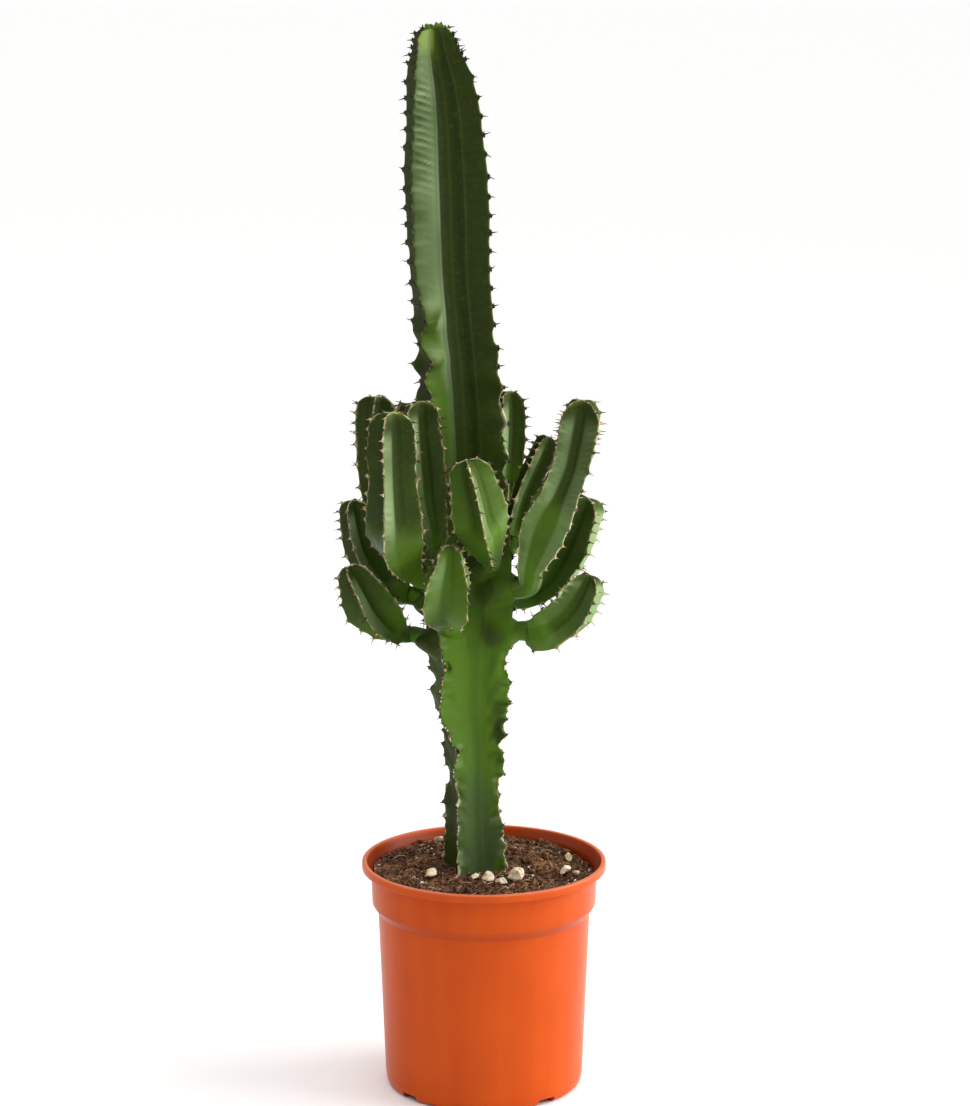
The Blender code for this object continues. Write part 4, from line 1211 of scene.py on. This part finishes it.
def makeStone(number, look):
    # A broken chip: along each direction d the nearest of some planes, h / (d . n), softened between
    # planes by a power mean, then stretched to the CAD stone's box and roughened by noise.
    low, high = (np.array(corner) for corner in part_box("stone_%d" % number))
    draw = np.random.default_rng(look["seed"] + number)
    ball, faces = ballPoints(look["level"])
    normals = unit(draw.normal(size=(look["planes"], 3)))
    depths = draw.uniform(0.62, 1.0, look["planes"])
    facing = np.clip(ball @ normals.T, 0.02, None) / depths
    radius = (facing ** look["sharpness"]).sum(axis=1) ** (-1 / look["sharpness"])
    points = ball * np.minimum(radius, 1.45)[:, None]
    points = (points - points.min(axis=0)) / (points.max(axis=0) - points.min(axis=0)) * (high - low) + low
    for cell, height, seed in look["rough"]:
        points = points + ball * (height * mm * latticeNoise(points, cell * mm, seed + number))[:, None]
    finishLumps("limestoneChip%d" % number, points[None], faces, limestoneMaterial,
                replaced=["stone_%d" % number])


for number in range(1, stoneLook["count"] + 1):
    makeStone(number, stoneLook)
print("stones made")


# Floor, light and camera

studioLook = {
    "overhead": 1.3, "dim": 0.12,          # light of the white surfaces and of the rest
    "ceiling": (0.35, 0.6),                # z of the directions between which the ceiling begins
    "backWall": (0.94, 0.985),             # and y for the wall
    "floor": "#FBFBFA",
    "aim": (0.0, 0.0, 0.55),               # metres, the soft boxes face this point
}
# Soft boxes: place, width and height in metres, and radiance.
softBoxes = {
    "rightPanel": ((2.0, -0.1, 1.1), 2.1, 2.4, 4.3),
    "leftPanel": ((-2.1, 0.1, 0.9), 1.2, 2.0, 0.1),
    "frontPanel": ((0.6, -3.2, 2.6), 2.0, 1.4, 0.3),
}
cameraLook = {
    "place": (0.001, -4.0, 1.4604),        # metres
    "down": 12.995,                        # degrees below level
    "focal": 4244, "photoHeight": 1106,    # pixels of the photo, which is 970 wide
}


def makeFloor(look):
    # A wide disc on z = 0.
    shape = bmesh.new()
    bmesh.ops.create_circle(shape, cap_ends=True, segments=64, radius=40.0)
    mesh = bpy.data.meshes.new("studioFloor")
    shape.to_mesh(mesh)
    shape.free()
    floor = addObject("studioFloor", mesh)
    # Matt painted board: even pale grey-white, no gloss
    material, tree, shader = newMaterial("paintedBoard")
    feed(tree, shader, {"Base Color": look["floor"], "Roughness": 0.9})
    mesh.materials.append(material)


def addPanel(name, place, wide, tall, radiance):
    # A soft box: power = radiance x pi x area.
    light = bpy.data.lights.new(name, "AREA")
    light.shape = "RECTANGLE"
    light.size = wide
    light.size_y = tall
    light.energy = radiance * math.pi * wide * tall
    panel = addObject(name, light)
    panel.location = place
    away = np.array(place) - np.array(studioLook["aim"])
    panel.rotation_euler = (math.acos(away[2] / np.linalg.norm(away)), 0, math.atan2(away[0], -away[1]))
    panel.visible_camera = False


def makeWorld(look):
    # A white ceiling and back wall in a dim studio, by the direction's z and y.
    world = bpy.data.worlds.new("studio")
    world.use_nodes = True
    bpy.context.scene.world = world
    tree = world.node_tree
    way = addNode(tree, "TexCoord").outputs["Generated"]
    parts = addNode(tree, "SeparateXYZ", {0: way}).outputs
    ceiling, back = (addNode(tree, "MapRange", {"Value": part, 1: low, 2: high},
                             interpolation_type="SMOOTHSTEP").outputs[0]
                     for part, (low, high) in ((parts[2], look["ceiling"]), (parts[1], look["backWall"])))
    either = addMath(tree, "MAXIMUM", ceiling, back)
    strength = addRange(tree, either, 0.0, 1.0, look["dim"], look["overhead"])
    feed(tree, tree.nodes["Background"], {"Color": "#FFFFFF", "Strength": strength})


def makeCamera(look):
    # The photo's angle.
    camera = bpy.data.cameras.new("photoCamera")
    camera.sensor_width = 36.0
    camera.lens = look["focal"] * camera.sensor_width / look["photoHeight"]
    camera.clip_end = 200.0
    holder = addObject("photoCamera", camera)
    holder.location = look["place"]
    holder.rotation_euler = (math.radians(90 - look["down"]), 0, 0)
    bpy.context.scene.camera = holder


makeFloor(studioLook)
makeWorld(studioLook)
for name, values in softBoxes.items():
    addPanel(name, *values)
makeCamera(cameraLook)
bpy.context.scene.view_settings.view_transform = "Standard"
print("floor, lights and camera made")
